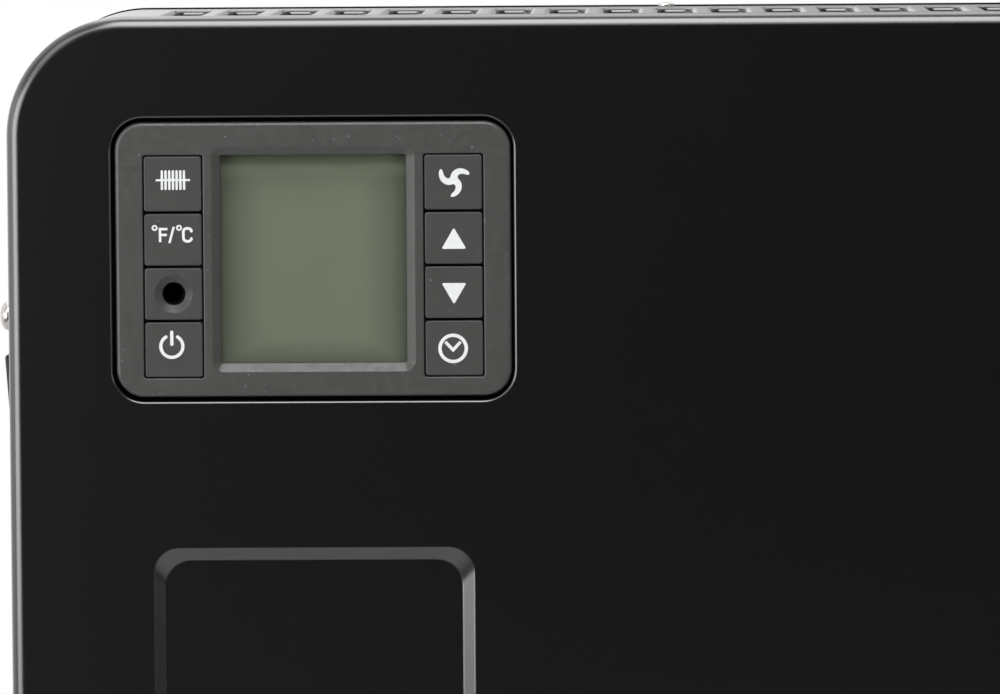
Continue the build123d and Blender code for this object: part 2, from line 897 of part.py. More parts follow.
def make_fan_motor():
    """Motor can that hangs from the shroud's centre plate, with its shaft."""
    top = inside_z + fan_depth - fan_strut_thick
    motor = plate(Circle(fan_motor_radius), top - fan_motor_height, top)
    shaft_low = top - fan_motor_height - fan_gap - fan_hub_height + fan_hub_wall + seat_gap
    return motor + plate(Circle(fan_shaft_radius), shaft_low, top - fan_motor_height)


def make_fan_impeller():
    """Impeller: hub cup and pitched blades."""
    high = inside_z + fan_depth - fan_strut_thick - fan_motor_height - fan_gap
    low = high - fan_hub_height
    hub = plate(Circle(fan_hub_radius), low, high)
    tip = fan_bore_radius - fan_blade_tip_play
    middle = (low + high) / 2
    blades = []
    for i in range(fan_blades):
        blades.append(Rot(0, 0, 360 / fan_blades * i) * fan_blade(tip, middle))
    hub += blades
    bore = plate(Circle(fan_shaft_radius + fan_shaft_play), low + fan_hub_wall, high + cut_overrun)
    return hub - bore


def fan_blade(tip, middle):
    """One pitched blade along +X."""
    root = fan_hub_radius - fan_hub_wall
    section = Pos(0, middle) * Rot(0, 0, fan_blade_angle) * Rectangle(fan_blade_chord, fan_blade_thick)
    return bar(section, root, tip)


def make_tip_housing():
    """Bracket box of the tip-over switch, open at the front, with the pendulum's pin."""
    low = inside_z
    shell = Pos(tip_x, 0, low + tip_height / 2) * Box(tip_width, tip_depth, tip_height)
    cave = Pos(tip_x, -tip_wall, low + tip_height / 2) * Box(
        tip_width - 2 * tip_wall, tip_depth, tip_height - 2 * tip_wall
    )
    shell -= cave
    pin_start = (tip_x, tip_depth / 2 - tip_wall, tip_pivot_z())
    return shell + rod(pin_start, (0, -1, 0), tip_pin_radius, tip_eye_length + 2 * tip_pin_play)


def tip_pivot_z():
    return inside_z + tip_height - tip_wall - tip_eye - tip_pin_room


def make_tip_pendulum():
    """Pendulum of the tip-over switch, hanging on its pin."""
    z = tip_pivot_z()
    y_rear = tip_depth / 2 - tip_wall - tip_pin_play
    y = y_rear - tip_eye_length / 2
    eye = Pos(tip_x, y, z) * Box(2 * tip_eye, tip_eye_length, 2 * tip_eye)
    arm_low = z - tip_rod_length
    eye += Pos(tip_x, y, (z + arm_low) / 2) * Box(tip_rod, tip_rod, z - arm_low)
    eye += Pos(tip_x, y, arm_low - tip_bob_height / 2) * Box(tip_bob, tip_eye_length, tip_bob_height)
    start = (tip_x, y_rear + cut_overrun, z)
    return eye - rod(start, (0, -1, 0), tip_pin_radius + tip_pin_play, tip_eye_length + 2 * cut_overrun)


def power_place():
    """Middle of the power board and the depth of its rear face."""
    y = rear_y - field_depth - sheet - post_length
    return left_x + power_inset, bottom_z + power_rise_z + power_height / 2, y


def power_corners():
    x, z, y = power_place()
    dx = power_length / 2 - post_edge
    dz = power_height / 2 - post_edge
    return [(x + sx * dx, z + sz * dz) for sx in (-1, 1) for sz in (-1, 1)]


def make_power_board():
    x, z, y = power_place()
    board = slab(Pos(x, z) * Rectangle(power_length, power_height), y - power_thick, y)
    face = y - power_thick
    for i in range(relay_count):
        spot = Pos(x + (i - (relay_count - 1) / 2) * relay_pitch, z + relay_rise)
        board += slab(spot * Rectangle(relay_length, relay_width), face - relay_height, face)
    chip = Pos(x, z - chip_drop) * Rectangle(chip_length, chip_width)
    return board + slab(chip, face - chip_height, face)


def make_power_posts():
    """Square posts between the rear panel and the power board."""
    y = power_place()[2]
    post = Rectangle(post_width, post_width)
    return [slab(Pos(px, pz) * post, y, y + post_length) for px, pz in power_corners()]


def make_cord_inlet():
    """Square-headed bushing in the rear panel for the mains lead, with its bore."""
    spot = Pos(inlet_x, bottom_z + inlet_rise)
    near = rear_y - inlet_length + inlet_flange
    body = slab(spot * Rectangle(inlet_body, inlet_body), near, rear_y)
    body += slab(spot * Rectangle(inlet_head, inlet_head), rear_y, rear_y + inlet_flange)
    hook_far = rear_y - sheet - seat_gap
    hooks = spot * Rectangle(inlet_body + 2 * inlet_barb, inlet_hook_height)
    body += slab(hooks, hook_far - inlet_flange, hook_far)
    start = (inlet_x, rear_y + inlet_flange + cut_overrun, bottom_z + inlet_rise)
    return body - rod(start, (0, -1, 0), inlet_bore_radius, inlet_length + 2 * cut_overrun)


def make_terminal_block():
    x = terminal_x
    middle = inside_z + terminal_height / 2
    block = Pos(x, 0, middle) * Box(terminal_width, terminal_length, terminal_height)
    pitch = terminal_length / terminal_ways
    for i in range(terminal_ways):
        y = (i - (terminal_ways - 1) / 2) * pitch
        well = Pos(x, y) * Rectangle(terminal_well, terminal_well)
        block -= plate(well, middle, inside_z + terminal_height + cut_overrun)
    return block


def make_room_sensor():
    """Air temperature bead in its clip on the base plate."""
    low = inside_z + sensor_clip_sheet
    place = Pos(body_width / 2 - sensor_inset, front_y + sensor_setback)
    clip = place * Rectangle(sensor_clip_width, 2 * sensor_size)
    bead = place * Rectangle(sensor_length, sensor_size)
    return plate(clip, inside_z, low) + plate(bead, low, low + sensor_size)


def foot_profile(inset):
    """Side outline of a foot: flat crown under the body, sloping to rounded toes."""
    half = foot_length / 2 - inset
    crown = foot_crown / 2 - inset / 2
    low = pad_height
    top = bottom_z - inset
    toe = foot_tip_height - inset
    right = [(half, low), (half, toe), (crown, top)]
    left = [(-y, z) for y, z in reversed(right)]
    return make_face(Polyline(*right, *left, right[0]))


def make_foot(side):
    """Moulded foot, open underneath, with two screw bosses, ribs and pad seats."""
    x = side * foot_x
    foot = bar(foot_profile(0), x - foot_width / 2, x + foot_width / 2)
    foot = fillet(foot.edges().filter_by(Axis.X).sort_by(Axis.Z)[2:4], foot_toe_bend)
    room = foot_width - 2 * foot_wall
    hollow = bar(foot_profile(foot_wall), x - room / 2, x + room / 2)
    hollow += Pos(x, 0, pad_height) * Box(room, foot_length - 2 * foot_wall, foot_wall)
    for i in range(foot_ribs):
        y = (i - (foot_ribs - 1) / 2) * foot_rib_pitch
        hollow -= Pos(x, y, bottom_z / 2) * Box(foot_width, foot_rib, bottom_z)
    for y in foot_boss_places():
        hollow -= plate(Pos(x, y) * Rectangle(foot_boss, foot_boss), 0, bottom_z)
    for y in pad_places():
        seat = Pos(x, y) * Rectangle(foot_width, pad_length)
        hollow -= plate(seat, 0, pad_height + foot_wall)
    foot -= hollow
    for y in foot_boss_places():
        foot -= plate(Pos(x, y) * Rectangle(foot_well, foot_well), 0, bottom_z - foot_seat)
    crown = Rectangle(foot_width, 2 * (wrap_rear - seat_gap))
    return foot + plate(Pos(x, 0) * crown, bottom_z, base_z)


def pad_places():
    y = foot_length / 2 - pad_setback
    return (-y, y)


def make_foot_pads():
    pads = []
    for x in (-foot_x, foot_x):
        pads += [plate(Pos(x, y) * Rectangle(pad_width, pad_length), 0, pad_height) for y in pad_places()]
    return pads


def make_parts():
    cell, lcd_frame = make_display_module()
    parts = {
        "front_panel": make_front_panel(),
        "body_wrap": make_body_wrap(),
        "rear_panel": make_rear_panel(),
        "base_plate": make_base_plate(),
        "left_upright": make_upright(-1),
        "right_upright": make_upright(1),
        "top_rail": make_top_rail(),
        "control_bezel": make_control_bezel(),
        "display_window": make_display_window(),
        "display_cell": cell,
        "display_frame": lcd_frame,
        "receiver_tile": make_receiver_tile(),
        "remote_receiver": make_receiver(),
        "control_board": make_control_board(),
        "control_cover": make_control_cover(),
        "switch_housing": make_switch_housing(),
        "switch_rocker": make_switch_rocker(),
        "heating_element": make_heating_element(),
        "element_bushes": make_element_bushes(),
        "element_bracket_left": make_element_bracket(-1),
        "element_bracket_right": make_element_bracket(1),
        "front_baffle": make_baffle(-1),
        "rear_baffle": make_baffle(1),
        "thermal_cutout": make_thermal_cutout(),
        "fan_shroud": make_fan_shroud(),
        "fan_motor": make_fan_motor(),
        "fan_impeller": make_fan_impeller(),
        "tip_switch_housing": make_tip_housing(),
        "tip_switch_pendulum": make_tip_pendulum(),
        "power_board": make_power_board(),
        "power_board_posts": make_power_posts(),
        "cord_inlet": make_cord_inlet(),
        "terminal_block": make_terminal_block(),
        "room_sensor": make_room_sensor(),
        "left_foot": make_foot(-1),
        "right_foot": make_foot(1),
        "foot_pads": make_foot_pads(),
    }
    for side, index, name in key_list:
        parts[name] = make_key(side, index)
    return parts


os.makedirs("parts", exist_ok=True)
for node, shape in make_parts().items():
    solids = shape if isinstance(shape, list) else [shape]
    export_step(Compound(children=[s for piece in solids for s in piece.solids()]), f"parts/{node}.step")
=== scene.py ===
import math

import bmesh
import bpy
from mathutils import Matrix, Vector


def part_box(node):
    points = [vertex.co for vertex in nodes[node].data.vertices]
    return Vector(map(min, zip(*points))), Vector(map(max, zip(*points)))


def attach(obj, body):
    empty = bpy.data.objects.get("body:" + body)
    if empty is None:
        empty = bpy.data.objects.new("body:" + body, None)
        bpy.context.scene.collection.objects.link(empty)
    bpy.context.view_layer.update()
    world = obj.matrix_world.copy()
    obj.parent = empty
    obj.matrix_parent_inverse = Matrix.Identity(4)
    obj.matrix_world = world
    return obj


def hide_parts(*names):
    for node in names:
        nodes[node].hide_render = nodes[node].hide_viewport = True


bl_info = {
    "name": "Panel convector heater",
    "version": (1, 0, 0),
    "blender": (4, 5, 0),
    "location": "3D View > Sidebar > Heater",
    "description": "Dresses the frame of a panel heater in its pressed steel, plastics and glass",
    "category": "Object",
}

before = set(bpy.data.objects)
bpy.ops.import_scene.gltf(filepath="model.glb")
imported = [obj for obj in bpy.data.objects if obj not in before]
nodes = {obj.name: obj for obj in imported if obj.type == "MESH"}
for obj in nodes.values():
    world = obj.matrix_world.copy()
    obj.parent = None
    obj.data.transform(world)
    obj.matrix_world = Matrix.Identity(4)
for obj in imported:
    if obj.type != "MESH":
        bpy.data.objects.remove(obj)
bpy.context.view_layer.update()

MM = 0.001
NEAR = 1.5e-5
BODY = "heater"
X, Y, Z = range(3)
QUARTER = math.pi / 2
FACE_FRONT = (QUARTER, 0, 0)
FACE_REAR = (-QUARTER, 0, 0)
FACE_UP = (0, 0, 0)
FACE_LEFT = (0, -QUARTER, 0)
WHITE = (1, 1, 1, 1)

# Places on the body.
END_FACE = 317.0 * MM
SWITCH_HEIGHT = 326.0 * MM
CONTROL_MIDDLE = Vector((-233.7, 0, 368.6)) * MM
OPENING_MIDDLE = Vector((-233.85, 0, 368.6)) * MM
COLUMNS_MIDDLE = Vector((-233.65, 0, 366.75)) * MM
COLUMN_OFFSET = Vector((38.1, 0, 0.05)) * MM
REAR_FIELD_HEIGHT = 235.0 * MM
CORD_X, CORD_Z = 266.0 * MM, 67.0 * MM


def length(name, text, millimetres):
    return bpy.props.FloatProperty(
        name=name, description=text, default=millimetres * MM, unit="LENGTH", precision=5
    )


def colour(name, text, value):
    return bpy.props.FloatVectorProperty(
        name=name, description=text, default=value, subtype="COLOR", size=3, min=0, max=1
    )


class HeaterSizes(bpy.types.PropertyGroup):
    """Sizes of the pressed sheet, the trim and the small parts."""

    sheet: length("Sheet", "Thickness of the body's steel sheet", 0.8)
    corner: length("Body corner", "Radius of the body's corners seen from the front", 32.5)
    roll: length("Edge roll", "Radius of the rolled edge of the front and rear panels", 3.6)
    top_step: length("Top step", "How far the top lies below the rear panel's edge", 0.4)
    opening_lip: length("Lip depth", "Depth of the lip round the control opening", 4.0)
    lip_bend: length("Lip bend", "Radius of the lip round the control opening", 0.8)
    recess_depth: length("Recess depth", "Depth of the three pressed recesses", 2.05)
    recess_bend: length("Recess bend", "Radius of the folds of the recesses", 1.2)
    slot_pitch: length("Slot pitch", "Distance between the outlet slots", 15.0)
    slot_bend: length("Slot bend", "Radius of the turned-in edge of an outlet slot", 1.5)
    slot_rim: length("Slot rim", "Depth of the turned-in rim of an outlet slot", 3.0)
    bezel_corner: length("Bezel corner", "Radius of the corners of the control bezel", 7.5)
    bezel_bend: length("Bezel edge", "Radius of the front edge of the control bezel", 1.1)
    key_width: length("Key width", "Width of a key", 15.6)
    key_bend: length("Key edge", "Radius of the front edge of a key", 0.35)
    key_gap: length("Key gap", "Gap between two keys, and round a column of keys", 0.72)
    key_pitch: length("Key pitch", "Distance between the middles of two keys", 14.75)
    column_height: length("Key column", "Height of a column of keys with its gaps", 61.4)
    icon_height: length("Icon print", "Height of the printed icons above their keys", 0.03)
    screw_radius: length("Screw head", "Radius of a pan head", 4.0)
    screw_height: length("Screw head height", "Height of a pan head", 3.2)


class HeaterColours(bpy.types.PropertyGroup):
    """Colours of the finishes."""

    body: colour("Body", "Satin powder coat of the steel panels", (0.0025, 0.0025, 0.0025))
    bezel: colour("Bezel", "Moulded grey of the control bezel", (0.050, 0.050, 0.047))
    keys: colour("Keys", "Moulded grey of the keys", (0.050, 0.050, 0.048))
    icons: colour("Icons", "White print on the keys", (0.74, 0.76, 0.75))
    display: colour("Display", "Unlit liquid crystal cell", (0.345, 0.385, 0.290))
    plastic: colour("Dark plastic", "Feet, switch and cord inlet", (0.012, 0.012, 0.013))
    floor: colour("Floor", "Pale floor below the heater", (0.80, 0.80, 0.80))


def heater_sizes():
    return bpy.context.scene.heater_sizes


# Selecting and editing.


def clear_selection():
    if bpy.context.object and bpy.context.object.mode != "OBJECT":
        bpy.ops.object.mode_set(mode="OBJECT")
    bpy.ops.object.select_all(action="DESELECT")


def hold(piece, *others):
    """Makes one piece active and selects it with any others."""
    clear_selection()
    for item in (piece, *others):
        item.select_set(True)
    bpy.context.view_layer.objects.active = piece


def edit(piece, mode="FACE"):
    hold(piece)
    bpy.ops.object.mode_set(mode="EDIT")
    bpy.ops.mesh.select_mode(type=mode)


def edit_all(piece, mode="FACE"):
    edit(piece, mode)
    bpy.ops.mesh.select_all(action="SELECT")


def leave():
    bpy.ops.object.mode_set(mode="OBJECT")


def pick(piece, kind, test):
    """Selects the edges or faces of the piece in edit mode that pass a test."""
    bpy.ops.mesh.select_all(action="DESELECT")
    mesh = bmesh.from_edit_mesh(piece.data)
    for item in getattr(mesh, kind):
        if test(item):
            item.select_set(True)
    bmesh.update_edit_mesh(piece.data)


def flat(axis, value):
    """Test for edges or faces that lie in one plane across an axis."""
    return lambda item: all(abs(corner.co[axis] - value) < NEAR for corner in item.verts)


def along(axis):
    """Test for edges that run along an axis."""
    others = [i for i in (X, Y, Z) if i != axis]
    return lambda edge: all(
        abs(edge.verts[0].co[i] - edge.verts[1].co[i]) < NEAR for i in others
    )


def bevel(offset, segments, affect="EDGES"):
    bpy.ops.mesh.bevel(
        offset=offset, segments=segments, affect=affect, profile=0.5, clamp_overlap=False
    )


def extrude(offset):
    bpy.ops.mesh.extrude_region_move(TRANSFORM_OT_translate={"value": offset})


def rename(piece, name):
    piece.name = piece.data.name = name
    return piece


def new_piece(name, scale=(1, 1, 1)):
    """Names the object that was just added and applies its place and size to its mesh."""
    piece = rename(bpy.context.object, name)
    piece.scale = scale
    bpy.ops.object.transform_apply(location=True, rotation=True, scale=True)
    return piece


# Sheet metal moves.


def block(name, low, high):
    """Box between two corners, taken from a cube."""
    clear_selection()
    low, high = Vector(low), Vector(high)
    bpy.ops.mesh.primitive_cube_add(size=1.0, location=(low + high) / 2)
    return new_piece(name, high - low)


def rounded_block(name, low, high, axis, radius, segments):
    """Box whose four edges along an axis are rounded."""
    piece = block(name, low, high)
    edit(piece, "EDGE")
    pick(piece, "edges", along(axis))
    bevel(radius, segments)
    leave()
    return piece


def roll_edge(piece, axis, value, radius, segments):
    """Rounds the border of the flat face at a place along an axis."""
    edit(piece, "EDGE")
    pick(piece, "edges", flat(axis, value))
    bevel(radius, segments)
    leave()


def open_face(piece, axis, value, keep_edges=True):
    """Takes out the faces at a place along an axis."""
    edit(piece)
    pick(piece, "faces", flat(axis, value))
    bpy.ops.mesh.delete(type="ONLY_FACE" if keep_edges else "FACE")
    leave()


def outline_face(name, centre, size, radius, facing, segments=8):
    """Flat face with rounded corners, taken from a plane."""
    clear_selection()
    bpy.ops.mesh.primitive_plane_add(size=1.0, location=centre, rotation=facing)
    piece = new_piece(name, (*size, 1.0))
    edit_all(piece, "VERT")
    bevel(radius, segments, "VERTICES")
    leave()
    return piece


def round_face(name, centre, radius, facing, segments=48):
    """Flat round face, taken from a circle."""
    clear_selection()
    bpy.ops.mesh.primitive_circle_add(
        vertices=segments, radius=radius, fill_type="NGON", location=centre, rotation=facing
    )
    return new_piece(name)


def bend(radius, turn, count):
    """Inward and downward steps of a rounded fold that starts level."""
    stops = [turn * i / count for i in range(count + 1)]
    return [
        (radius * (math.sin(b) - math.sin(a)), radius * (math.cos(a) - math.cos(b)))
        for a, b in zip(stops, stops[1:])
    ]


def slope_steps(radius, slope, depth, count=4, foot=None):
    """Pressed slope with a rounded fold at its top, and all or some steps of one at its foot."""
    fold = bend(radius, slope, count)
    straight = depth - 2 * sum(down for _, down in fold)
    return fold + [(straight / math.tan(slope), straight)] + fold[::-1][:foot]


def press(piece, steps, floor=True):
    """Draws a face's border in and its middle down, step by step."""
    least = 0.01 * MM
    edit_all(piece)
    for inward, down in steps:
        bpy.ops.mesh.inset(thickness=max(inward, least), depth=-down, use_even_offset=True)
    if not floor:
        bpy.ops.mesh.delete(type="FACE")
    leave()
    return piece


def turn_in(piece, radius, count, wall, floor=False):
    """Turns a face's border in by a quarter round and draws it down into a wall."""
    return press(piece, bend(radius, QUARTER, count) + [(0, wall)], floor)


def grown(width, height, border):
    return (width + 2 * border, height + 2 * border)


def at_depth(place, y):
    return Vector((place.x, y, place.z))


def join(piece, *others):
    hold(piece, *others)
    bpy.ops.object.join()
    return piece


def fill_plane(piece, axis, value):
    """Fills the sheet between all open outlines in one plane."""
    edit(piece, "EDGE")
    in_plane = flat(axis, value)
    pick(piece, "edges", lambda edge: in_plane(edge) and len(edge.link_faces) < 2)
    bpy.ops.mesh.fill(use_beauty=True)
    leave()


def face_out(piece, axis, value, sign):
    """Merges doubles and turns the normals so that the face at that place looks outwards."""
    edit_all(piece)
    bpy.ops.mesh.remove_doubles(threshold=1e-6)
    bpy.ops.mesh.normals_make_consistent(inside=False)
    here = flat(axis, value)
    faces = [face for face in bmesh.from_edit_mesh(piece.data).faces if here(face)]
    biggest = max(faces, key=lambda face: face.calc_area())
    if biggest.normal[axis] * sign < 0:
        bpy.ops.mesh.select_all(action="SELECT")
        bpy.ops.mesh.flip_normals()
    leave()


def apply_modifier(piece, kind, **settings):
    hold(piece)
    bpy.ops.object.modifier_add(type=kind)
    modifier = piece.modifiers[-1]
    for name, value in settings.items():
        setattr(modifier, name, value)
    bpy.ops.object.modifier_apply(modifier=modifier.name)


def cut_out(piece, cutter):
    apply_modifier(piece, "BOOLEAN", operation="DIFFERENCE", object=cutter, solver="EXACT")
    bpy.data.objects.remove(cutter)


def thicken(piece, thickness):
    apply_modifier(piece, "SOLIDIFY", thickness=thickness, offset=-1, use_even_offset=True)


def smooth(piece, degrees=35):
    hold(piece)
    bpy.ops.object.shade_smooth_by_angle(angle=math.radians(degrees))
    apply_modifier(piece, "WEIGHTED_NORMAL", mode="FACE_AREA", weight=100, keep_sharp=True)


def shell(name, low, high, axis, face, back, corner, edge):
    """Rounded block with a rolled edge, open at its back and without its face.

    Corner and edge are each a radius and a number of segments.
    """
    piece = rounded_block(name, low, high, axis, *corner)
    roll_edge(piece, axis, face, *edge)
    open_face(piece, axis, back, keep_edges=False)
    open_face(piece, axis, face)
    return piece


def close_sheet(piece, sign, parts, *planes):
    """Joins pressed parts to a shell, fills the sheet between them and turns it outwards.

    Each plane is an axis and a place; the first is the face that looks along the sign.
    """
    join(piece, *parts)
    for plane in planes:
        fill_plane(piece, *plane)
    face_out(piece, *planes[0], sign)


def copy_to(piece, place):
    """Copy of a piece with its own mesh, moved by a matrix."""
    twin = piece.copy()
    twin.data = piece.data.copy()
    bpy.context.collection.objects.link(twin)
    twin.data.transform(place)
    return twin


def row(piece, offsets):
    """Joins copies of a piece at offsets from its place."""
    copies = [copy_to(piece, Matrix.Translation(offset)) for offset in offsets]
    bpy.data.objects.remove(piece)
    return join(*copies)


def settle(piece, body, slot, *replaced, finish=None):
    """Gives a piece its body and, if it has none, the finish of its slot or the finish given."""
    if not piece.data.materials:
        piece.data.materials.append(finishes()[finish or slot])
    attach(piece, body)
    if replaced:
        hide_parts(*replaced)


# Finishes.

FINISHES = {}


def scaled(value, factor):
    return tuple(min(1.0, channel * factor) for channel in value[:3]) + (1.0,)


class Nodes:
    """Node tree with short ways to add its nodes."""

    def __init__(self, tree):
        self.tree = tree

    def add(self, kind, inputs=(), **settings):
        """New node; each input takes a value or the output of another node."""
        node = self.tree.nodes.new(kind)
        for name, value in settings.items():
            setattr(node, name, value)
        self.feed(node, inputs)
        return node

    def feed(self, node, inputs):
        for key, value in dict(inputs).items():
            if isinstance(value, bpy.types.NodeSocket):
                self.tree.links.new(value, node.inputs[key])
            else:
                node.inputs[key].default_value = value

    def calculate(self, operation, *values):
        return self.add("ShaderNodeMath", enumerate(values), operation=operation).outputs[0]

    def vector(self, operation, *values):
        return self.add("ShaderNodeVectorMath", enumerate(values), operation=operation).outputs

    def ramp(self, source, start, end, low=0.0, high=1.0, **settings):
        """Change from a low to a high value while the source goes from start to end."""
        inputs = {
            "Value": source, "From Min": start, "From Max": end, "To Min": low, "To Max": high,
        }
        return self.add("ShaderNodeMapRange", inputs, **settings).outputs["Result"]

    def mix(self, share, first, second):
        """Mix of two shaders."""
        return self.add("ShaderNodeMixShader", {0: share, 1: first, 2: second}).outputs[0]


class Finish(Nodes):
    """Node tree of one material, with its principled shader."""

    def __init__(self, name):
        self.material = bpy.data.materials.new(name)
        self.material.use_nodes = True
        super().__init__(self.material.node_tree)
        self.shader = self.tree.nodes["Principled BSDF"]
        self.place = self.add("ShaderNodeTexCoord").outputs["Object"]

    def noise(self, scale, detail=3.0, roughness=0.5):
        inputs = {
            "Vector": self.place, "Scale": scale, "Detail": detail, "Roughness": roughness,
        }
        return self.add("ShaderNodeTexNoise", inputs).outputs["Fac"]

    def spread(self, noise, low=0.0, high=1.0):
        """Noise, which mostly lies between 0.3 and 0.7, drawn out over a range."""
        return self.ramp(noise, 0.3, 0.7, low, high)

    def blend(self, share, first, second):
        """Mix of two colours."""
        inputs = {"Factor": share, 6: first, 7: second}
        return self.add("ShaderNodeMix", inputs, data_type="RGBA").outputs[2]

    def bump(self, source, height):
        inputs = {"Strength": 1.0, "Distance": height, "Height": source}
        return self.add("ShaderNodeBump", inputs).outputs["Normal"]

    def shade(self, **inputs):
        """Sets inputs of the principled shader."""
        self.feed(self.shader, {key.replace("_", " "): value for key, value in inputs.items()})

    def show(self, surface):
        self.feed(self.tree.nodes["Material Output"], {"Surface": surface})


def make_finish(
    name, tone, rough, metallic=0.0, specular=0.5, coat=0.0, coat_rough=0.2, mottle=60.0,
    tint=0.12, grain=1500.0, relief=0.010, swing=0.06, specks=0.0, stretch=None,
):
    """Finish with soft colour clouds, an uneven gloss and a fine grain.

    Mottle and grain count the clouds and the grain in a metre. Tint and swing say how far the
    colour and the roughness stray, relief is the grain's height in millimetres, and specks is the
    brightness of settled dust.
    """
    dust_scale, dust_start, dust_end = 1300.0, 0.845, 0.885
    look = Finish(name)
    if stretch:
        mapping = look.add("ShaderNodeMapping", {"Vector": look.place, "Scale": stretch})
        look.place = mapping.outputs["Vector"]
    clouds = look.spread(look.noise(mottle, 4.0))
    base = look.blend(clouds, scaled(tone, 1 - tint), scaled(tone, 1 + tint))
    if specks:
        dust = look.ramp(look.noise(dust_scale, 0.0), dust_start, dust_end)
        base = look.blend(dust, base, (specks, specks, specks, 1.0))
    look.shade(
        Base_Color=base,
        Roughness=look.spread(look.noise(mottle * 6, 2.0), rough - swing, rough + swing),
        Normal=look.bump(look.noise(grain, 2.0, 0.6), relief * MM),
        Metallic=metallic,
        Specular_IOR_Level=specular,
        Coat_Weight=coat,
        Coat_Roughness=coat_rough,
    )
    FINISHES[name] = look.material


def make_window_finish():
    """Clear acrylic that lets the light through to what lies behind it."""
    look = Finish("clear_window")
    look.shade(
        Roughness=look.ramp(look.noise(220.0, 5.0), 0.35, 0.75, 0.03, 0.09),
        Base_Color=(0.97, 0.98, 0.97, 1.0),
        Transmission_Weight=1.0,
        IOR=1.2,
    )
    shadow = look.add("ShaderNodeLightPath").outputs["Is Shadow Ray"]
    clear = look.add("ShaderNodeBsdfTransparent").outputs[0]
    look.show(look.mix(shadow, look.shader.outputs[0], clear))
    FINISHES["clear_window"] = look.material


def make_display_finish(tone):
    """Backing of an unlit liquid crystal cell, with painted shade towards its seal and painted
    light along its top.
    """
    # Painted shade: the cell is darkened towards its edges, where the walls of the window's recess
    # shade it.
    painted_edge_shade_tone, painted_edge_shade_falloff, painted_edge_shade_shares = 0.54, 1.6, {X: 0.45, Z: 0.70}
    painted_top_light_tone, painted_top_light_share = 1.6, 0.74
    look = Finish("display_glass")
    low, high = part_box("display_cell")
    centre, half = (low + high) / 2, (high - low) / 2
    place = look.add("ShaderNodeSeparateXYZ", {"Vector": look.place}).outputs
    edges = []
    for axis, share in painted_edge_shade_shares.items():
        off = look.calculate("ABSOLUTE", look.calculate("SUBTRACT", place[axis], centre[axis]))
        edges.append(look.ramp(off, half[axis] * share, half[axis]))
    painted_edge_shade = look.calculate("POWER", look.calculate("MAXIMUM", *edges), painted_edge_shade_falloff)
    grain = look.ramp(look.noise(3200.0, 1.0), 0.35, 0.65)
    base = look.blend(grain, scaled(tone, 0.97), scaled(tone, 1.03))
    base = look.blend(painted_edge_shade, base, scaled(tone, painted_edge_shade_tone))
    # Painted light: the cell is lightened along its top, to offset the shade that the window's top
    # edge casts on it.
    top = look.ramp(place[Z], centre.z + half.z * painted_top_light_share, high.z)
    look.shade(
        Base_Color=look.blend(top, base, scaled(tone, painted_top_light_tone)),
        Roughness=look.spread(look.noise(900.0), 0.5, 0.6),
        Normal=look.bump(look.noise(4000.0, 1.0), 0.002 * MM),
        Specular_IOR_Level=0.3,
    )
    FINISHES["display_glass"] = look.material


def make_finishes():
    tones = bpy.context.scene.heater_colours
    make_finish(
        "black_steel", tones.body, 0.23, specular=0.9, coat=1.0, coat_rough=0.24,
        tint=0.06, grain=950.0, relief=0.003, swing=0.01, specks=0.04,
    )
    make_finish(
        "galvanised_steel", (0.52, 0.53, 0.54), 0.42, metallic=1.0, mottle=160.0,
        tint=0.16, grain=420.0,
    )
    make_finish(
        "screw_nickel", (0.66, 0.64, 0.60), 0.26, metallic=1.0, mottle=500.0,
        grain=2600.0, relief=0.004,
    )
    make_finish(
        "bezel_plastic", tones.bezel, 0.42, specular=0.8, mottle=90.0, tint=0.04,
        grain=3400.0, relief=0.008, specks=0.16,
    )
    make_finish(
        "key_plastic", tones.keys, 0.46, mottle=90.0, tint=0.04,
        grain=3600.0, relief=0.006, specks=0.14,
    )
    make_finish(
        "icon_print", tones.icons, 0.55, mottle=900.0, tint=0.03, grain=5200.0, relief=0.003
    )
    make_finish(
        "dark_lens", (0.004, 0.003, 0.004), 0.12, coat=0.6, coat_rough=0.05, relief=0.001
    )
    make_finish("board", (0.014, 0.060, 0.024), 0.45, mottle=90.0, tint=0.2, grain=700.0)
    make_finish("cover_plastic", (0.020, 0.020, 0.021), 0.5)
    make_finish(
        "switch_plastic", tones.plastic, 0.33, mottle=70.0, grain=2400.0, relief=0.006
    )
    for name, tone, rough, mottle in (
        ("element_metal", (0.62, 0.62, 0.61), 0.38, 120.0),
        ("shield_metal", (0.55, 0.55, 0.55), 0.36, 140.0),
    ):
        make_finish(name, tone, rough, metallic=1.0, mottle=mottle, stretch=(0.2, 1, 1))
    make_finish("ceramic", (0.74, 0.71, 0.64), 0.6, tint=0.06)
    make_finish("phenolic", (0.028, 0.016, 0.010), 0.42, tint=0.2, mottle=300.0)
    make_finish("fan_plastic", (0.016, 0.016, 0.017), 0.46)
    make_finish("motor_steel", (0.42, 0.42, 0.43), 0.34, metallic=1.0)
    make_finish("pendulum_brass", (0.62, 0.45, 0.18), 0.32, metallic=1.0, mottle=200.0)
    make_finish("fitting_plastic", tones.plastic, 0.5, specular=0.4)
    make_finish("foot_plastic", tones.plastic, 0.48, specular=0.45, grain=1800.0, relief=0.014)
    # Painted shade: near-black finish for the bezel's flange, so the gap round the bezel reads as
    # shade.
    make_finish(
        "foam_black", (0.0015, 0.0015, 0.0015), 0.9, specular=0.05, grain=1600.0, relief=0.05
    )
    make_finish(
        "pad_rubber", (0.018, 0.018, 0.018), 0.8, specular=0.3, grain=1300.0, relief=0.03
    )
    make_window_finish()
    make_display_finish(tones.display)


def finishes():
    """All finishes by name, made once."""
    if not FINISHES:
        make_finishes()
    return FINISHES


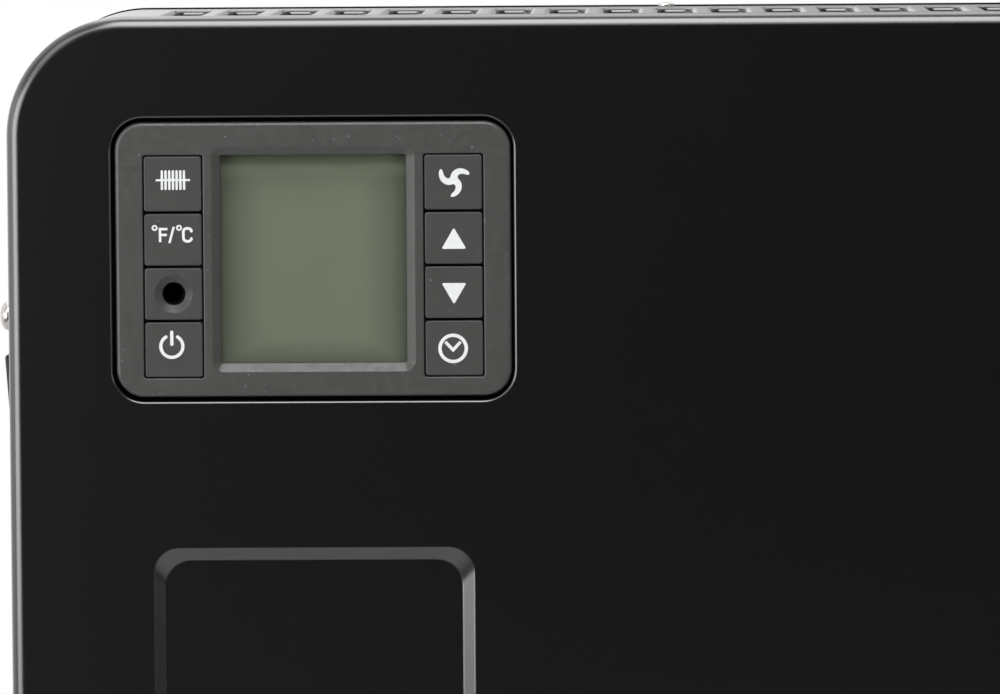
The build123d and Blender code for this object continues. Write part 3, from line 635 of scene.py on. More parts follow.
# Finishes of the nodes that don't wear the one of their slot in the record.
OTHER_FINISHES = {
    "cord_inlet": "fitting_plastic",
    "display_frame": "cover_plastic",
    "tip_switch_housing": "switch_plastic",
}


def dress_inner_nodes():
    """Gives each solid of the frame its finish; the inner ones show through slots and vents."""
    for name, node in nodes.items():
        slot = node.data.materials[0].name.split(".")[0]
        node.data.materials.clear()
        node.data.materials.append(finishes()[OTHER_FINISHES.get(name, slot)])


# Pieces.


def make_steel(piece, node):
    """Gives a sheet its thickness and its paint."""
    thicken(piece, heater_sizes().sheet)
    smooth(piece)
    settle(piece, BODY, "black_steel", node)


def panel_shell(name, node, sign):
    """Pan with rounded corners and a rolled edge, open at the back and without its face."""
    sizes = heater_sizes()
    low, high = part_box(node)
    face, rear = (low.y, high.y) if sign < 0 else (high.y, low.y)
    if sign < 0:
        high.z -= sizes.top_step
    return shell(name, low, high, Y, face, rear, (sizes.corner, 28), (sizes.roll, 10)), face


def widen_corners(piece, centre, size, radius, widening):
    """Draws the corner arcs of a recess out to a larger radius towards its floor."""
    reach = (size[0] / 2 - radius, size[1] / 2 - radius)
    for vertex in piece.data.vertices:
        off = vertex.co - centre
        turn = math.atan2(abs(off.z) - reach[1], abs(off.x) - reach[0])
        turn = min(max(turn, 0.0), QUARTER)
        gain = widening * off.y / heater_sizes().recess_depth
        vertex.co.x += math.copysign(gain, off.x) * (math.cos(turn) - 1)
        vertex.co.z += math.copysign(gain, off.z) * (math.sin(turn) - 1)


def build_front_panel():
    width, height, corner, widening = 87.5 * MM, 204.8 * MM, 7.0 * MM, 3.4 * MM
    pitch, middle, slope = 234.2 * MM, 187.5 * MM, math.radians(32.5)
    opening_width, opening_height, opening_corner = 109.2 * MM, 77.0 * MM, 8.6 * MM
    sizes = heater_sizes()
    piece, face = panel_shell("front_panel_sheet", "front_panel", -1)
    start = sizes.recess_bend * math.tan(slope / 2)
    steps = slope_steps(sizes.recess_bend, slope, sizes.recess_depth)
    size = grown(width, height, start)
    parts = []
    for side in (-1, 0, 1):
        centre = Vector((side * pitch, face, middle))
        recess = press(outline_face("recess", centre, size, corner + start, FACE_FRONT), steps)
        widen_corners(recess, centre, size, corner + start, widening)
        parts.append(recess)
    lip = sizes.lip_bend
    opening = outline_face(
        "lip", at_depth(OPENING_MIDDLE, face), grown(opening_width, opening_height, lip),
        opening_corner + lip, FACE_FRONT, 12,
    )
    parts.append(turn_in(opening, lip, 6, sizes.opening_lip - lip))
    close_sheet(piece, -1, parts, (Y, face))
    make_steel(piece, "front_panel")


def slot_rims(top):
    """Turned-in rims of the outlet slots."""
    width, depth, corner, place, count = 9.5 * MM, 61.8 * MM, 2.4 * MM, -8.4 * MM, 37
    sizes = heater_sizes()
    flare = sizes.slot_bend
    size = grown(width, depth, flare)
    rim = outline_face("rim", (0, place, top), size, corner + flare, FACE_UP, 5)
    turn_in(rim, flare, 6, sizes.slot_rim - flare)
    middle = (count - 1) // 2
    return row(rim, [((i - middle) * sizes.slot_pitch, 0, 0) for i in range(count)])


def seam_lip(low, high):
    """Joggled lip of the wrap, behind the seam with a panel."""
    lap = 1.0 * MM
    inset = Vector((lap, 0, lap))
    piece = rounded_block("lip", low + inset, high - inset, Y, heater_sizes().corner - lap, 20)
    for place in (low.y, high.y):
        open_face(piece, Y, place, keep_edges=False)
    return piece


def cut_hole(centre, size, facing, segments):
    """Border of a small hole with a short wall behind it, to be joined to a sheet."""
    corner = wall = 1.0 * MM
    return press(
        outline_face("hole", centre, size, corner, facing, segments), [(0, wall)], floor=False
    )


def build_body_wrap():
    seam, switch_hole = 41.6 * MM, (37.4 * MM, 16.1 * MM)
    sizes = heater_sizes()
    outer_low, outer_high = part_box("body_wrap")
    low = at_depth(outer_low, -seam)
    high = Vector((outer_high.x, seam, outer_high.z - sizes.top_step))
    piece = rounded_block("body_wrap_sheet", low, high, Y, sizes.corner, 28)
    for place in (low.y, high.y):
        open_face(piece, Y, place)
    open_face(piece, Z, low.z, keep_edges=False)
    open_face(piece, Z, high.z)
    open_face(piece, X, low.x)
    hole = cut_hole((low.x, 0, SWITCH_HEIGHT), switch_hole, FACE_LEFT, 4)
    close_sheet(piece, 1, (slot_rims(high.z), hole), (Z, high.z), (X, low.x))
    lips = [
        seam_lip(at_depth(low, near), at_depth(high, far))
        for near, far in (
            (outer_low.y, -seam + sizes.sheet), (seam - sizes.sheet, outer_high.y)
        )
    ]
    join(piece, *lips)
    make_steel(piece, "body_wrap")


def vent_rims(face):
    """Turned-in rims of the vents in the rear panel's field, in two bands of three rows."""
    width, height, corner, flare, wall = 84.0 * MM, 5.0 * MM, 2.0 * MM, 0.5 * MM, 1.2 * MM
    columns, column_pitch = 4, 118.0 * MM
    rows, row_pitch, outer_row = 3, 14.0 * MM, 120.0 * MM
    size = grown(width, height, flare)
    rim = outline_face("vent", (0, face, REAR_FIELD_HEIGHT), size, corner + flare, FACE_REAR, 5)
    turn_in(rim, flare, 3, wall)
    return row(rim, [
        ((column - (columns - 1) / 2) * column_pitch, 0, side * (outer_row - step * row_pitch))
        for column in range(columns) for step in range(rows) for side in (-1, 1)
    ])


def build_rear_panel():
    width, height, corner = 520.0 * MM, 300.0 * MM, 16.0 * MM
    depth, run, fold = 3.0 * MM, 5.0 * MM, 2.0 * MM
    cord_hole = (13.4 * MM, 13.4 * MM)
    piece, face = panel_shell("rear_panel_sheet", "rear_panel", 1)
    slope = math.atan2(depth, run)
    start = fold * math.tan(slope / 2)
    centre, size = (0, face, REAR_FIELD_HEIGHT), grown(width, height, start)
    field = outline_face("field", centre, size, corner + start, FACE_REAR, 10)
    press(field, slope_steps(fold, slope, depth), floor=False)
    hole = cut_hole((CORD_X, face, CORD_Z), cord_hole, FACE_REAR, 3)
    floor = face - depth
    close_sheet(piece, 1, (field, hole, vent_rims(floor)), (Y, face), (Y, floor))
    make_steel(piece, "rear_panel")


def column_middle(side):
    """Middle of the left or right column of keys."""
    return COLUMNS_MIDDLE + side * COLUMN_OFFSET


def bezel_openings(face):
    """Sloped border of the display opening and the two pockets of the key columns."""
    width, height, corner, fold = 55.1 * MM, 61.2 * MM, 3.0 * MM, 0.35 * MM
    depth, slope = 1.8 * MM, math.radians(38)
    pocket_corner, pocket_bend, pocket_wall = 1.1 * MM, 0.35 * MM, 2.4 * MM
    sizes = heater_sizes()
    start = fold * math.tan(slope / 2)
    steps = slope_steps(fold, slope, depth, 3, foot=0)
    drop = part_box("display_window")[0].y - face - sum(down for _, down in steps)
    centre, size = at_depth(CONTROL_MIDDLE, face), grown(width, height, start)
    window = outline_face("window", centre, size, corner + start, FACE_FRONT)
    parts = [press(window, steps + [(0, drop)], floor=False)]
    size = (sizes.key_width + 2 * sizes.key_gap, sizes.column_height)
    for side in (-1, 1):
        centre = at_depth(column_middle(side), face)
        pocket = outline_face("pocket", centre, size, pocket_corner, FACE_FRONT, 4)
        parts.append(turn_in(pocket, pocket_bend, 3, pocket_wall))
    return parts


def build_bezel():
    """Moulded bezel, with its flange painted near-black as painted shade in the gap round it."""
    width, height, wall, face, back = 107.5 * MM, 74.7 * MM, 0.7 * MM, -49.6 * MM, -40.0 * MM
    flange_front, flange_back, flange_corner = -46.0 * MM, -44.0 * MM, 4.0 * MM
    flange_reach, flange_overlap = Vector((6, 0, 6)) * MM, Vector((1, -10, 1)) * MM
    sizes = heater_sizes()
    half = Vector((width / 2, 0, height / 2))
    low = at_depth(CONTROL_MIDDLE, face) - half
    high = at_depth(CONTROL_MIDDLE, back) + half
    piece = shell(
        "control_bezel_moulding", low, high, Y, face, back,
        (sizes.bezel_corner, 14), (sizes.bezel_bend, 5),
    )
    close_sheet(piece, -1, bezel_openings(face), (Y, face))
    thicken(piece, wall)
    flange_low, flange_high = low - flange_reach, high + flange_reach
    flange = rounded_block("flange", flange_low, flange_high, Y, flange_corner, 6)
    for vertex in flange.data.vertices:
        in_front = vertex.co.y < (face + back) / 2
        vertex.co.y = flange_front if in_front else flange_back
    cut_out(flange, block("cut", low + flange_overlap, high - flange_overlap))
    piece.data.materials.append(finishes()["bezel_plastic"])
    # Painted shade: the flange, moulded in the bezel's grey, is painted near-black so the gap
    # round the bezel reads as shade.
    flange.data.materials.append(finishes()["foam_black"])
    join(piece, flange)
    smooth(piece, 40)
    settle(piece, BODY, "bezel_plastic", "control_bezel")


def build_display():
    for name, node, slot, corner, edge, segments in (
        ("display_pane", "display_window", "clear_window", 1.5 * MM, 0.15 * MM, 6),
        ("display_crystal_cell", "display_cell", "display_glass", 0.4 * MM, 0.1 * MM, 3),
    ):
        low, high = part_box(node)
        piece = rounded_block(name, low, high, Y, corner, segments)
        roll_edge(piece, Y, low.y, edge, 2)
        smooth(piece)
        settle(piece, BODY, slot, node)


def cap_block(name, node):
    """Cap of a key with rounded edges, and the middle and depth of its face.

    Keys are counted from the bottom of their column; the end ones fill it to its ends.
    """
    bottom, top, corner, front = 0, 3, 0.7 * MM, 3.0 * MM
    sizes = heater_sizes()
    low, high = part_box(node)
    column = column_middle(-1 if low.x < CONTROL_MIDDLE.x else 1)
    step = ((low.z + high.z) / 2 - column.z) / sizes.key_pitch
    place = round(step + top / 2)
    middle = column.z + (place - top / 2) * sizes.key_pitch
    half = (sizes.key_pitch - sizes.key_gap) / 2
    end = sizes.column_height / 2 - sizes.key_gap
    below = column.z - end if place == bottom else middle - half
    above = column.z + end if place == top else middle + half
    half_width = sizes.key_width / 2
    piece = rounded_block(
        name, (column.x - half_width, low.y, below),
        (column.x + half_width, low.y + front, above), Y, corner, 4,
    )
    roll_edge(piece, Y, low.y, sizes.key_bend, 4)
    return piece, Vector((column.x, low.y, middle))


def build_receiver_tile():
    dish_radius, dish_depth, dish_run, dish_bend = 5.3 * MM, 1.5 * MM, 2.05 * MM, 0.4 * MM
    bore_wall = 1.4 * MM
    lens_radius, lens_depth, lens_edge = 3.5 * MM, 1.0 * MM, 0.3 * MM
    piece, centre = cap_block("receiver_tile_moulding", "receiver_tile")
    open_face(piece, Y, centre.y)
    dish = round_face("dish", centre, dish_radius, FACE_FRONT, 56)
    steps = slope_steps(dish_bend, math.atan2(dish_depth, dish_run), dish_depth, foot=1)
    press(dish, steps + [(0, bore_wall)], floor=False)
    close_sheet(piece, -1, (dish,), (Y, centre.y))
    smooth(piece)
    settle(piece, BODY, "key_plastic", "receiver_tile")
    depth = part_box("remote_receiver")[0].y
    lens = round_face("remote_receiver_lens", at_depth(centre, depth), lens_radius, FACE_FRONT)
    edit_all(lens)
    extrude((0, lens_depth, 0))
    leave()
    roll_edge(lens, Y, depth, lens_edge, 3)
    smooth(lens)
    settle(lens, BODY, "dark_lens")


# Icons: outlines on a key, in millimetres from its middle, x to the right and z up.


def heading(start, end):
    return math.atan2(end[1] - start[1], end[0] - start[0])


def half_round(centre, radius, turn, count=8):
    """Points of a round end that looks along a heading, without its first and last."""
    steps = [turn + QUARTER - math.pi * i / count for i in range(1, count)]
    return [(centre[0] + radius * math.cos(a), centre[1] + radius * math.sin(a)) for a in steps]


def stroke(points, width):
    """Closed outline of a line of that width with round ends."""
    half = width / 2
    left, right = [], []
    for i, (x, z) in enumerate(points):
        turn = heading(points[max(i - 1, 0)], points[min(i + 1, len(points) - 1)])
        nx, nz = -math.sin(turn) * half, math.cos(turn) * half
        left.append((x + nx, z + nz))
        right.append((x - nx, z - nz))
    cap_end = half_round(points[-1], half, heading(points[-2], points[-1]))
    cap_start = half_round(points[0], half, heading(points[0], points[1]) + math.pi)
    return left + cap_end + right[::-1] + cap_start


def bar(left, right, low, high):
    return [(left, low), (right, low), (right, high), (left, high)]


def arc(centre, radius, start, end, count=40):
    """Points along an arc between two angles in degrees."""
    turns = [math.radians(start + (end - start) * i / count) for i in range(count + 1)]
    return [(centre[0] + radius * math.cos(a), centre[1] + radius * math.sin(a)) for a in turns]


def ring(centre, radius, width):
    outer = arc(centre, radius, 0, 360, 56)[:-1]
    inner = arc(centre, radius - width, 0, 360, 56)[:-1]
    return [outer, inner[::-1]]


def soft_loop(points, count=5):
    """Smooth closed outline through points, whose first point is a corner."""
    points = [points[0], *points, points[0], points[0]]
    result = []
    for near in zip(points, points[1:], points[2:], points[3:]):
        for t in (step / count for step in range(count)):
            weights = (
                -t + 2 * t**2 - t**3, 2 - 5 * t**2 + 3 * t**3,
                t + 4 * t**2 - 3 * t**3, t**3 - t**2,
            )
            result.append(tuple(
                sum(weight * point[i] for weight, point in zip(weights, near)) / 2 for i in (0, 1)
            ))
    return result


def soft_corners(points, radius, count=5):
    """Closed outline with rounded corners."""
    result = []
    for i, corner in enumerate(points):
        corner = Vector(corner)
        to_last = (Vector(points[i - 1]) - corner).normalized()
        to_next = (Vector(points[(i + 1) % len(points)]) - corner).normalized()
        reach = radius / math.tan(to_last.angle(to_next) / 2)
        start, end = corner + to_last * reach, corner + to_next * reach
        for t in (step / count for step in range(count + 1)):
            point = start * (1 - t) ** 2 + corner * 2 * t * (1 - t) + end * t**2
            result.append(tuple(point))
    return result


def heat_icon():
    """Finned element: a bar with seven fins."""
    fins, pitch, fin, tall, bar_half, thick = 7, 1.0, 0.64, 5.4, 4.65, 0.54
    reach = (tall - fin) / 2
    places = [(i - (fins - 1) / 2) * pitch for i in range(fins)]
    shapes = [[stroke([(x, -reach), (x, reach)], fin)] for x in places]
    ends = [-bar_half, *(x + side * fin / 2 for x in places for side in (-1, 1)), bar_half]
    for left, right in zip(ends[::2], ends[1::2]):
        shapes.append([bar(left, right, -thick / 2, thick / 2)])
    return shapes


def units_icon():
    """Degree signs, F, a slash and C."""
    half_height, line, left, short_arm, long_arm = 1.94, 0.66, -3.88, 2.2, 2.36
    f_shape = [
        (left, -half_height), (left + line, -half_height), (left + line, -line / 2),
        (left + short_arm, -line / 2), (left + short_arm, line / 2), (left + line, line / 2),
        (left + line, half_height - line), (left + long_arm, half_height - line),
        (left + long_arm, half_height), (left, half_height),
    ]
    slash = [(-1.35, -2.2), (-0.70, -2.2), (0.52, 2.2), (-0.13, 2.2)]
    c_middle, c_width, c_height, c_rise, c_tip, c_line = 3.92, 1.13, 0.95, 0.82, 1.02, 0.74
    c_shape = [(c_middle + c_tip, 1.0)]
    for start, rise in ((15, c_rise), (180, -c_rise)):
        for i in range(13):
            turn = math.radians(start + 165 * i / 12)
            c_shape.append((c_middle + c_width * math.cos(turn), rise + c_height * math.sin(turn)))
    c_shape.append((c_middle + c_tip, -1.0))
    degrees = [ring((x, 1.92), 0.80, 0.44) for x in (-5.02, 1.63)]
    return [degrees[0], [f_shape], [slash], degrees[1], [stroke(c_shape, c_line)]]


def power_icon():
    """Open circle with a stroke in its gap."""
    half_gap, radius, line = 31.7, 3.0, 0.88
    circle = arc((0, 0), radius, 90 + half_gap, 450 - half_gap)
    return [[stroke(circle, line)], [stroke([(0, 0.56), (0, 3.84)], line)]]


def fan_icon():
    """Three curved blades that meet in the middle."""
    blade = [
        (1.0918, 0.4982), (1.9292, -0.5830), (2.1624, -1.8550), (1.8020, -3.1270),
        (0.8798, -4.1340), (-0.1802, -4.6004), (-0.7632, -4.4732), (-0.6572, -3.8796),
        (0.1272, -3.0528), (0.4982, -2.1942), (0.3922, -1.5052),
    ]
    outline = []
    for turn in (0, -120, -240):
        c, s = math.cos(math.radians(turn)), math.sin(math.radians(turn))
        outline += [(x * c - z * s, x * s + z * c) for x, z in blade]
    return [[soft_loop(outline)]]


def arrow_icon(way):
    half_width, base, tip, corner = 3.38, -2.86, 2.92, 0.36
    shape = [(-half_width, base * way), (half_width, base * way), (0, tip * way)]
    return [[soft_corners(shape[::way], corner)]]


def timer_icon():
    """Clock face with two hands."""
    radius, line = 4.03, 0.92
    hands = [(-2.40, 1.50), (-1.78, 2.06), (0, 0.20), (1.74, 2.06), (2.34, 1.50), (0, -1.06)]
    return [ring((0, 0), radius, line), [hands]]


# Outlines of each key's icon, and the icon's place on the key in millimetres.
KEYS = {
    "key_heat": (heat_icon(), (0.14, 1.48)),
    "key_units": (units_icon(), (0.04, 1.34)),
    "key_power": (power_icon(), (-0.6, 0.53)),
    "key_fan": (fan_icon(), (0.14, 1.03)),
    "key_up": (arrow_icon(1), (0.06, -0.10)),
    "key_down": (arrow_icon(-1), (0.02, -0.35)),
    "key_timer": (timer_icon(), (-0.34, -0.52)),
}


def print_icon(name, shapes, centre, facing, height):
    """Thin printed shapes that face outwards at a place."""
    prints = []
    for outlines in shapes:
        clear_selection()
        bpy.ops.object.add(type="CURVE", location=centre, rotation=facing)
        drawn = bpy.context.object.data
        drawn.dimensions = "2D"
        drawn.fill_mode = "BOTH"
        drawn.extrude = height / 2
        for outline in outlines:
            spline = drawn.splines.new("POLY")
            spline.points.add(len(outline) - 1)
            for point, (x, z) in zip(spline.points, outline):
                point.co = (x * MM, z * MM, 0, 1)
            spline.use_cyclic_u = True
        bpy.ops.object.convert(target="MESH")
        prints.append(new_piece("print"))
    return rename(join(*prints), name)


def build_keys():
    half_stem, stem_start = 1.8 * MM, 2.5 * MM
    for node, (shapes, (dx, dz)) in KEYS.items():
        piece, centre = cap_block(f"{node}_cap", node)
        stem = Vector((half_stem, 0, half_stem))
        rear = at_depth(centre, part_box(node)[1].y)
        join(piece, block("stem", centre - stem + Vector((0, stem_start, 0)), rear + stem))
        smooth(piece)
        settle(piece, node, "key_plastic", node)
        place = centre + Vector((dx, 0, dz)) * MM
        icon = print_icon(f"{node}_icon", shapes, place, FACE_FRONT, heater_sizes().icon_height)
        settle(icon, node, "white_plastic", finish="icon_print")


def build_switch_frame():
    """Raised frame of the rocker switch, with the cave that the rocker sits in."""
    half_length, half_width, rise = 21.1 * MM, 10.45 * MM, 1.4 * MM
    corner, edge = 1.8 * MM, 0.6 * MM
    cave_size, cave_corner = (34.8 * MM, 13.5 * MM), 1.0 * MM
    cave_bend, cave_wall = 0.4 * MM, 13.0 * MM
    outer = -END_FACE - rise
    piece = shell(
        "switch_frame", (outer, -half_width, SWITCH_HEIGHT - half_length),
        (-END_FACE, half_width, SWITCH_HEIGHT + half_length), X, outer, -END_FACE,
        (corner, 6), (edge, 4),
    )
    cave = outline_face("cave", (outer, 0, SWITCH_HEIGHT), cave_size, cave_corner, FACE_LEFT, 4)
    turn_in(cave, cave_bend, 3, cave_wall, floor=True)
    close_sheet(piece, -1, (cave,), (X, outer))
    smooth(piece)
    settle(piece, BODY, "switch_plastic", "switch_housing")


def build_switch():
    """Rocker switch on the left end: frame, rocker and its two marks."""
    half_length, half_width, rounding = 15.0 * MM, 6.0 * MM, 0.7 * MM
    pivot_depth, front, rear, dip = 5.0 * MM, 7.8 * MM, 4.2 * MM, 1.0 * MM
    rest_tilt, mark_place, mark_print = math.radians(-8.0), 7.5 * MM, 0.02 * MM
    build_switch_frame()
    pivot = Vector((pivot_depth - END_FACE, 0, SWITCH_HEIGHT))
    top = pivot.x - front
    rocker = block(
        "switch_rocker_cap", (top, -half_width, pivot.z - half_length),
        (pivot.x + rear, half_width, pivot.z + half_length),
    )
    edit_all(rocker)
    bpy.ops.mesh.bisect(plane_co=pivot, plane_no=(0, 0, 1))
    middle = flat(Z, pivot.z)
    pick(rocker, "edges", lambda edge: flat(X, top)(edge) and middle(edge))
    bpy.ops.transform.translate(value=(-dip, 0, 0))
    leave()
    edit(rocker, "EDGE")
    pick(rocker, "edges", lambda edge: not middle(edge) and all(
        corner.co.x < top + NEAR for corner in edge.verts
    ))
    bevel(rounding, 4)
    leave()
    smooth(rocker, 25)
    tilt = Matrix.Rotation(rest_tilt, 4, "Y")
    turn = Matrix.Translation(pivot) @ tilt @ Matrix.Translation(-pivot)
    rocker.data.transform(turn)
    settle(rocker, "rocker", "switch_plastic", "switch_rocker")
    marks = []
    lean = math.atan2(dip, half_length)
    for side, shapes in ((1, [[bar(-1.9, 1.9, -0.35, 0.35)]]), (-1, [ring((0, 0), 2.1, 0.6)])):
        spot = Matrix.Translation((top - dip / 2, 0, pivot.z + side * mark_place))
        mark = print_icon("mark", shapes, (0, 0, 0), FACE_LEFT, mark_print)
        mark.data.transform(spot @ Matrix.Rotation(side * lean, 4, "Y"))
        marks.append(mark)
    both = rename(join(*marks), "switch_rocker_marks")
    both.data.transform(turn)
    settle(both, "rocker", "white_plastic", finish="icon_print")


def pan_head(name, radius, height):
    """Pan head with a cross recess, standing on the origin and facing up."""
    wall_share, crown_share, cross_floor_share, over_share = 0.3, 0.85, 0.45, 1.2
    arm_length_share, arm_width_share = 0.5, 0.11
    head = round_face(name, (0, 0, 0), radius, FACE_UP, 40)
    edit_all(head)
    extrude((0, 0, height * wall_share))
    crown = radius * crown_share
    stretch = height * (1 - wall_share) / crown
    for inward, down in bend(crown, QUARTER, 8):
        bpy.ops.mesh.inset(thickness=down, depth=inward * stretch, use_even_offset=True)
    leave()
    x, y = radius * arm_length_share, radius * arm_width_share
    for turn in (0, QUARTER):
        arm = block("cut", (-x, -y, height * cross_floor_share), (x, y, height * over_share))
        arm.data.transform(Matrix.Rotation(turn, 4, "Z"))
        cut_out(head, arm)
    smooth(head, 30)
    return head


def build_screws():
    """Two pan heads on each end, three on each side of the back and two small ones on top."""
    small_radius, small_height = 2.3 * MM, 0.9 * MM
    end_screws, end_y = ((352.7, 20), (117.0, 65)), -35.0
    back_screws, back_x, back_y = ((95, 10), (235, 40), (375, 75)), 303.0, 50.0
    top_x, top_y, top_z = 137.4, 31.0, 435.0
    sizes = heater_sizes()
    head = pan_head("screw", sizes.screw_radius, sizes.screw_height)
    small = pan_head("small_screw", small_radius, small_height)
    copies = []

    def place(source, x, y, z, twist=0, lay=0, axis="X"):
        """Copy of a head at a place in millimetres, turned about itself and laid over."""
        turn = Matrix.Rotation(lay, 4, axis) @ Matrix.Rotation(math.radians(twist), 4, "Z")
        spot = Matrix.Translation((x * MM, y * MM, z * MM))
        copies.append(copy_to(source, spot @ turn))

    for side in (-1, 1):
        for rise, twist in end_screws:
            place(head, side * END_FACE / MM, end_y, rise, twist, side * QUARTER, "Y")
        for rise, twist in back_screws:
            place(head, side * back_x, back_y, rise, twist, -QUARTER)
        place(small, side * top_x, top_y, top_z)
    bpy.data.objects.remove(head)
    bpy.data.objects.remove(small)
    piece = rename(join(*copies), "body_screws")
    settle(piece, BODY, "galvanised_steel", finish="screw_nickel")


def build_foot(node):
    """Moulded foot that narrows to the body, hollow below."""
    base, shoulder, half_width = 13.0 * MM, 35.0 * MM, 22.0 * MM
    shoulder_share, painted_top_light_share = 0.4, 0.94
    wall, hollow, toe_bend, edge_bend = 2.4 * MM, 8.0 * MM, 6.0 * MM, 1.6 * MM
    sharp, over = 0.3, 0.5 * MM
    low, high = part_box(node)
    middle = (low.x + high.x) / 2
    piece = block(f"{node}_moulding", low, (high.x, high.y, base))
    edit(piece)
    pick(piece, "faces", flat(Z, base))
    for start, end, share in ((base, shoulder, shoulder_share), (shoulder, high.z, painted_top_light_share)):
        extrude((0, 0, end - start))
        bpy.ops.transform.resize(value=(1, share, 1), center_override=(middle, 0, end))
    pick(piece, "faces", flat(Z, low.z))
    bpy.ops.mesh.inset(thickness=wall, depth=0)
    extrude((0, 0, hollow))
    bpy.ops.mesh.select_mode(type="EDGE")
    pick(piece, "edges", lambda edge: along(X)(edge) and flat(Z, base)(edge))
    bevel(toe_bend, 6)
    pick(piece, "edges", lambda edge: edge.calc_face_angle(0) > sharp and all(
        low.z + NEAR < corner.co.z < shoulder + over
        and abs(abs(corner.co.x - middle) - half_width) < NEAR
        for corner in edge.verts
    ))
    bevel(edge_bend, 4)
    leave()
    smooth(piece, 30)
    settle(piece, BODY, "foot_plastic", node)


def build_feet():
    """Both feet and their four rubber pads."""
    pad_x, pad_y, half, corner, edge = 258.0, 94.0, Vector((15, 9, 0)) * MM, 3.0 * MM, 0.5 * MM
    thickness = Vector((0, 0, 2.5)) * MM
    for node in ("left_foot", "right_foot"):
        build_foot(node)
    pads = []
    for x in (-pad_x, pad_x):
        for y in (-pad_y, pad_y):
            middle = Vector((x, y, 0)) * MM
            pad = rounded_block("pad", middle - half, middle + half + thickness, Z, corner, 6)
            roll_edge(pad, Z, 0, edge, 3)
            pads.append(pad)
    piece = rename(join(*pads), "foot_pads_rubber")
    smooth(piece)
    settle(piece, BODY, "pad_rubber", "foot_pads")


def build_cord_inlet():
    """Square-headed bushing with its bore."""
    panel, face, corner, edge = 50.0 * MM, 52.4 * MM, 3.0 * MM, 0.8 * MM
    bore_radius, bore_wall = 4.8 * MM, 13.0 * MM
    half = Vector((9.5, 0, 9.5)) * MM
    middle = Vector((CORD_X, face, CORD_Z))
    piece = shell(
        "cord_inlet_bushing", at_depth(middle, panel) - half, middle + half, Y, face, panel,
        (corner, 6), (edge, 4),
    )
    bore = round_face("bore", middle, bore_radius, FACE_REAR, 40)
    turn_in(bore, edge, 4, bore_wall)
    close_sheet(piece, 1, (bore,), (Y, face))
    smooth(piece)
    settle(piece, BODY, "fitting_plastic", "cord_inlet")


# Stage.

LAMP_AIM = Vector((-0.10, 0.0, 0.34))
LAMP_DISTANCE = 1.7

# Azimuth and elevation in degrees, width, height and radiance of each lamp. Azimuth 0 is in
# front of the heater, and grows to the right.
LAMPS = {
    "overhead_softbox": (-5, 57, 0.9, 1.1, 5.8),
    "front_softbox": (0, 33, 0.75, 0.4, 2.2),
    "left_softbox": (-50, 3, 0.95, 0.8, 4.6),
    "inner_left_softbox": (-30, 3, 0.4, 0.8, 1.0),
    "left_wing_softbox": (-80, 6, 0.7, 0.8, 1.0),
    "corner_softbox": (-43, 34, 0.8, 0.8, 1.9),
    "right_softbox": (45, 6, 0.6, 0.6, 2.0),
    "rim_softbox": (180, 60, 1.4, 1.2, 1.5),
}


def make_lamp(name, azimuth, elevation, width, height, radiance):
    """Area lamp that faces the heater."""
    turn, rise = math.radians(azimuth), math.radians(elevation)
    way = Vector((
        math.sin(turn) * math.cos(rise), -math.cos(turn) * math.cos(rise), math.sin(rise)
    ))
    clear_selection()
    bpy.ops.object.light_add(type="AREA", location=LAMP_AIM + way * LAMP_DISTANCE)
    lamp = bpy.context.object
    lamp.name = name
    lamp.rotation_euler = way.to_track_quat("Z", "Y").to_euler()
    lamp.data.shape = "RECTANGLE"
    lamp.data.size = width
    lamp.data.size_y = height
    lamp.data.energy = radiance * math.pi * width * height
    lamp.visible_camera = False


def make_floor():
    """Pale floor that runs out into white, and into a dark room for gloss to show."""
    clear_selection()
    bpy.ops.mesh.primitive_circle_add(vertices=96, radius=9.0, fill_type="TRIFAN")
    floor = bpy.context.object
    floor.name = "studio_floor"
    look = Finish("studio_floor")
    tone = bpy.context.scene.heater_colours.floor
    clouds = look.spread(look.noise(3.0))
    look.shade(Base_Color=look.blend(clouds, scaled(tone, 0.985), scaled(tone, 1)), Roughness=0.7)
    reach = look.vector("LENGTH", look.place)["Value"]
    way = look.vector("NORMALIZE", look.place)["Vector"]
    behind = look.add("ShaderNodeSeparateXYZ", {0: way}).outputs["Y"]
    room = look.ramp(behind, -0.5, 0.4, 0.015, 1.0)
    light = look.add("ShaderNodeLightPath").outputs
    surface = look.shader.outputs[0]
    for ray, strength, start, end in (
        ("Is Camera Ray", 1.0, 0.75, 1.9),
        ("Is Glossy Ray", room, 0.45, 0.95),
    ):
        glow = look.add("ShaderNodeEmission", {"Color": WHITE, "Strength": strength}).outputs[0]
        share = look.calculate("MULTIPLY", light[ray], look.ramp(reach, start, end))
        surface = look.mix(share, surface, glow)
    look.show(surface)
    floor.data.materials.append(look.material)


def make_world():
    """White backdrop, with a dark room behind the camera for gloss to show."""
    fill_strength = 0.08
    world = bpy.data.worlds.new("studio")
    bpy.context.scene.world = world
    world.use_nodes = True
    world.node_tree.nodes.clear()
    sky = Nodes(world.node_tree)
    place = sky.add("ShaderNodeTexCoord").outputs["Generated"]

    def gradient(axis, start, end, low, high):
        across = sky.vector("DOT_PRODUCT", place, axis)["Value"]
        return sky.ramp(across, start, end, low, high, interpolation_type="SMOOTHSTEP")

    depth = gradient((0, 1, 0), -0.75, 0.25, 0.02, 1.0)
    side = gradient((1, 0, 0), -0.10, 0.03, 1.0, 0.5)
    shown, room, fill = (
        sky.add("ShaderNodeBackground", {"Color": WHITE, "Strength": strength}).outputs[0]
        for strength in (1.0, sky.calculate("MULTIPLY", depth, side), fill_strength)
    )
    light = sky.add("ShaderNodeLightPath").outputs
    unseen = sky.mix(light["Is Glossy Ray"], fill, room)
    view = sky.mix(light["Is Camera Ray"], unseen, shown)
    sky.add("ShaderNodeOutputWorld", {"Surface": view})


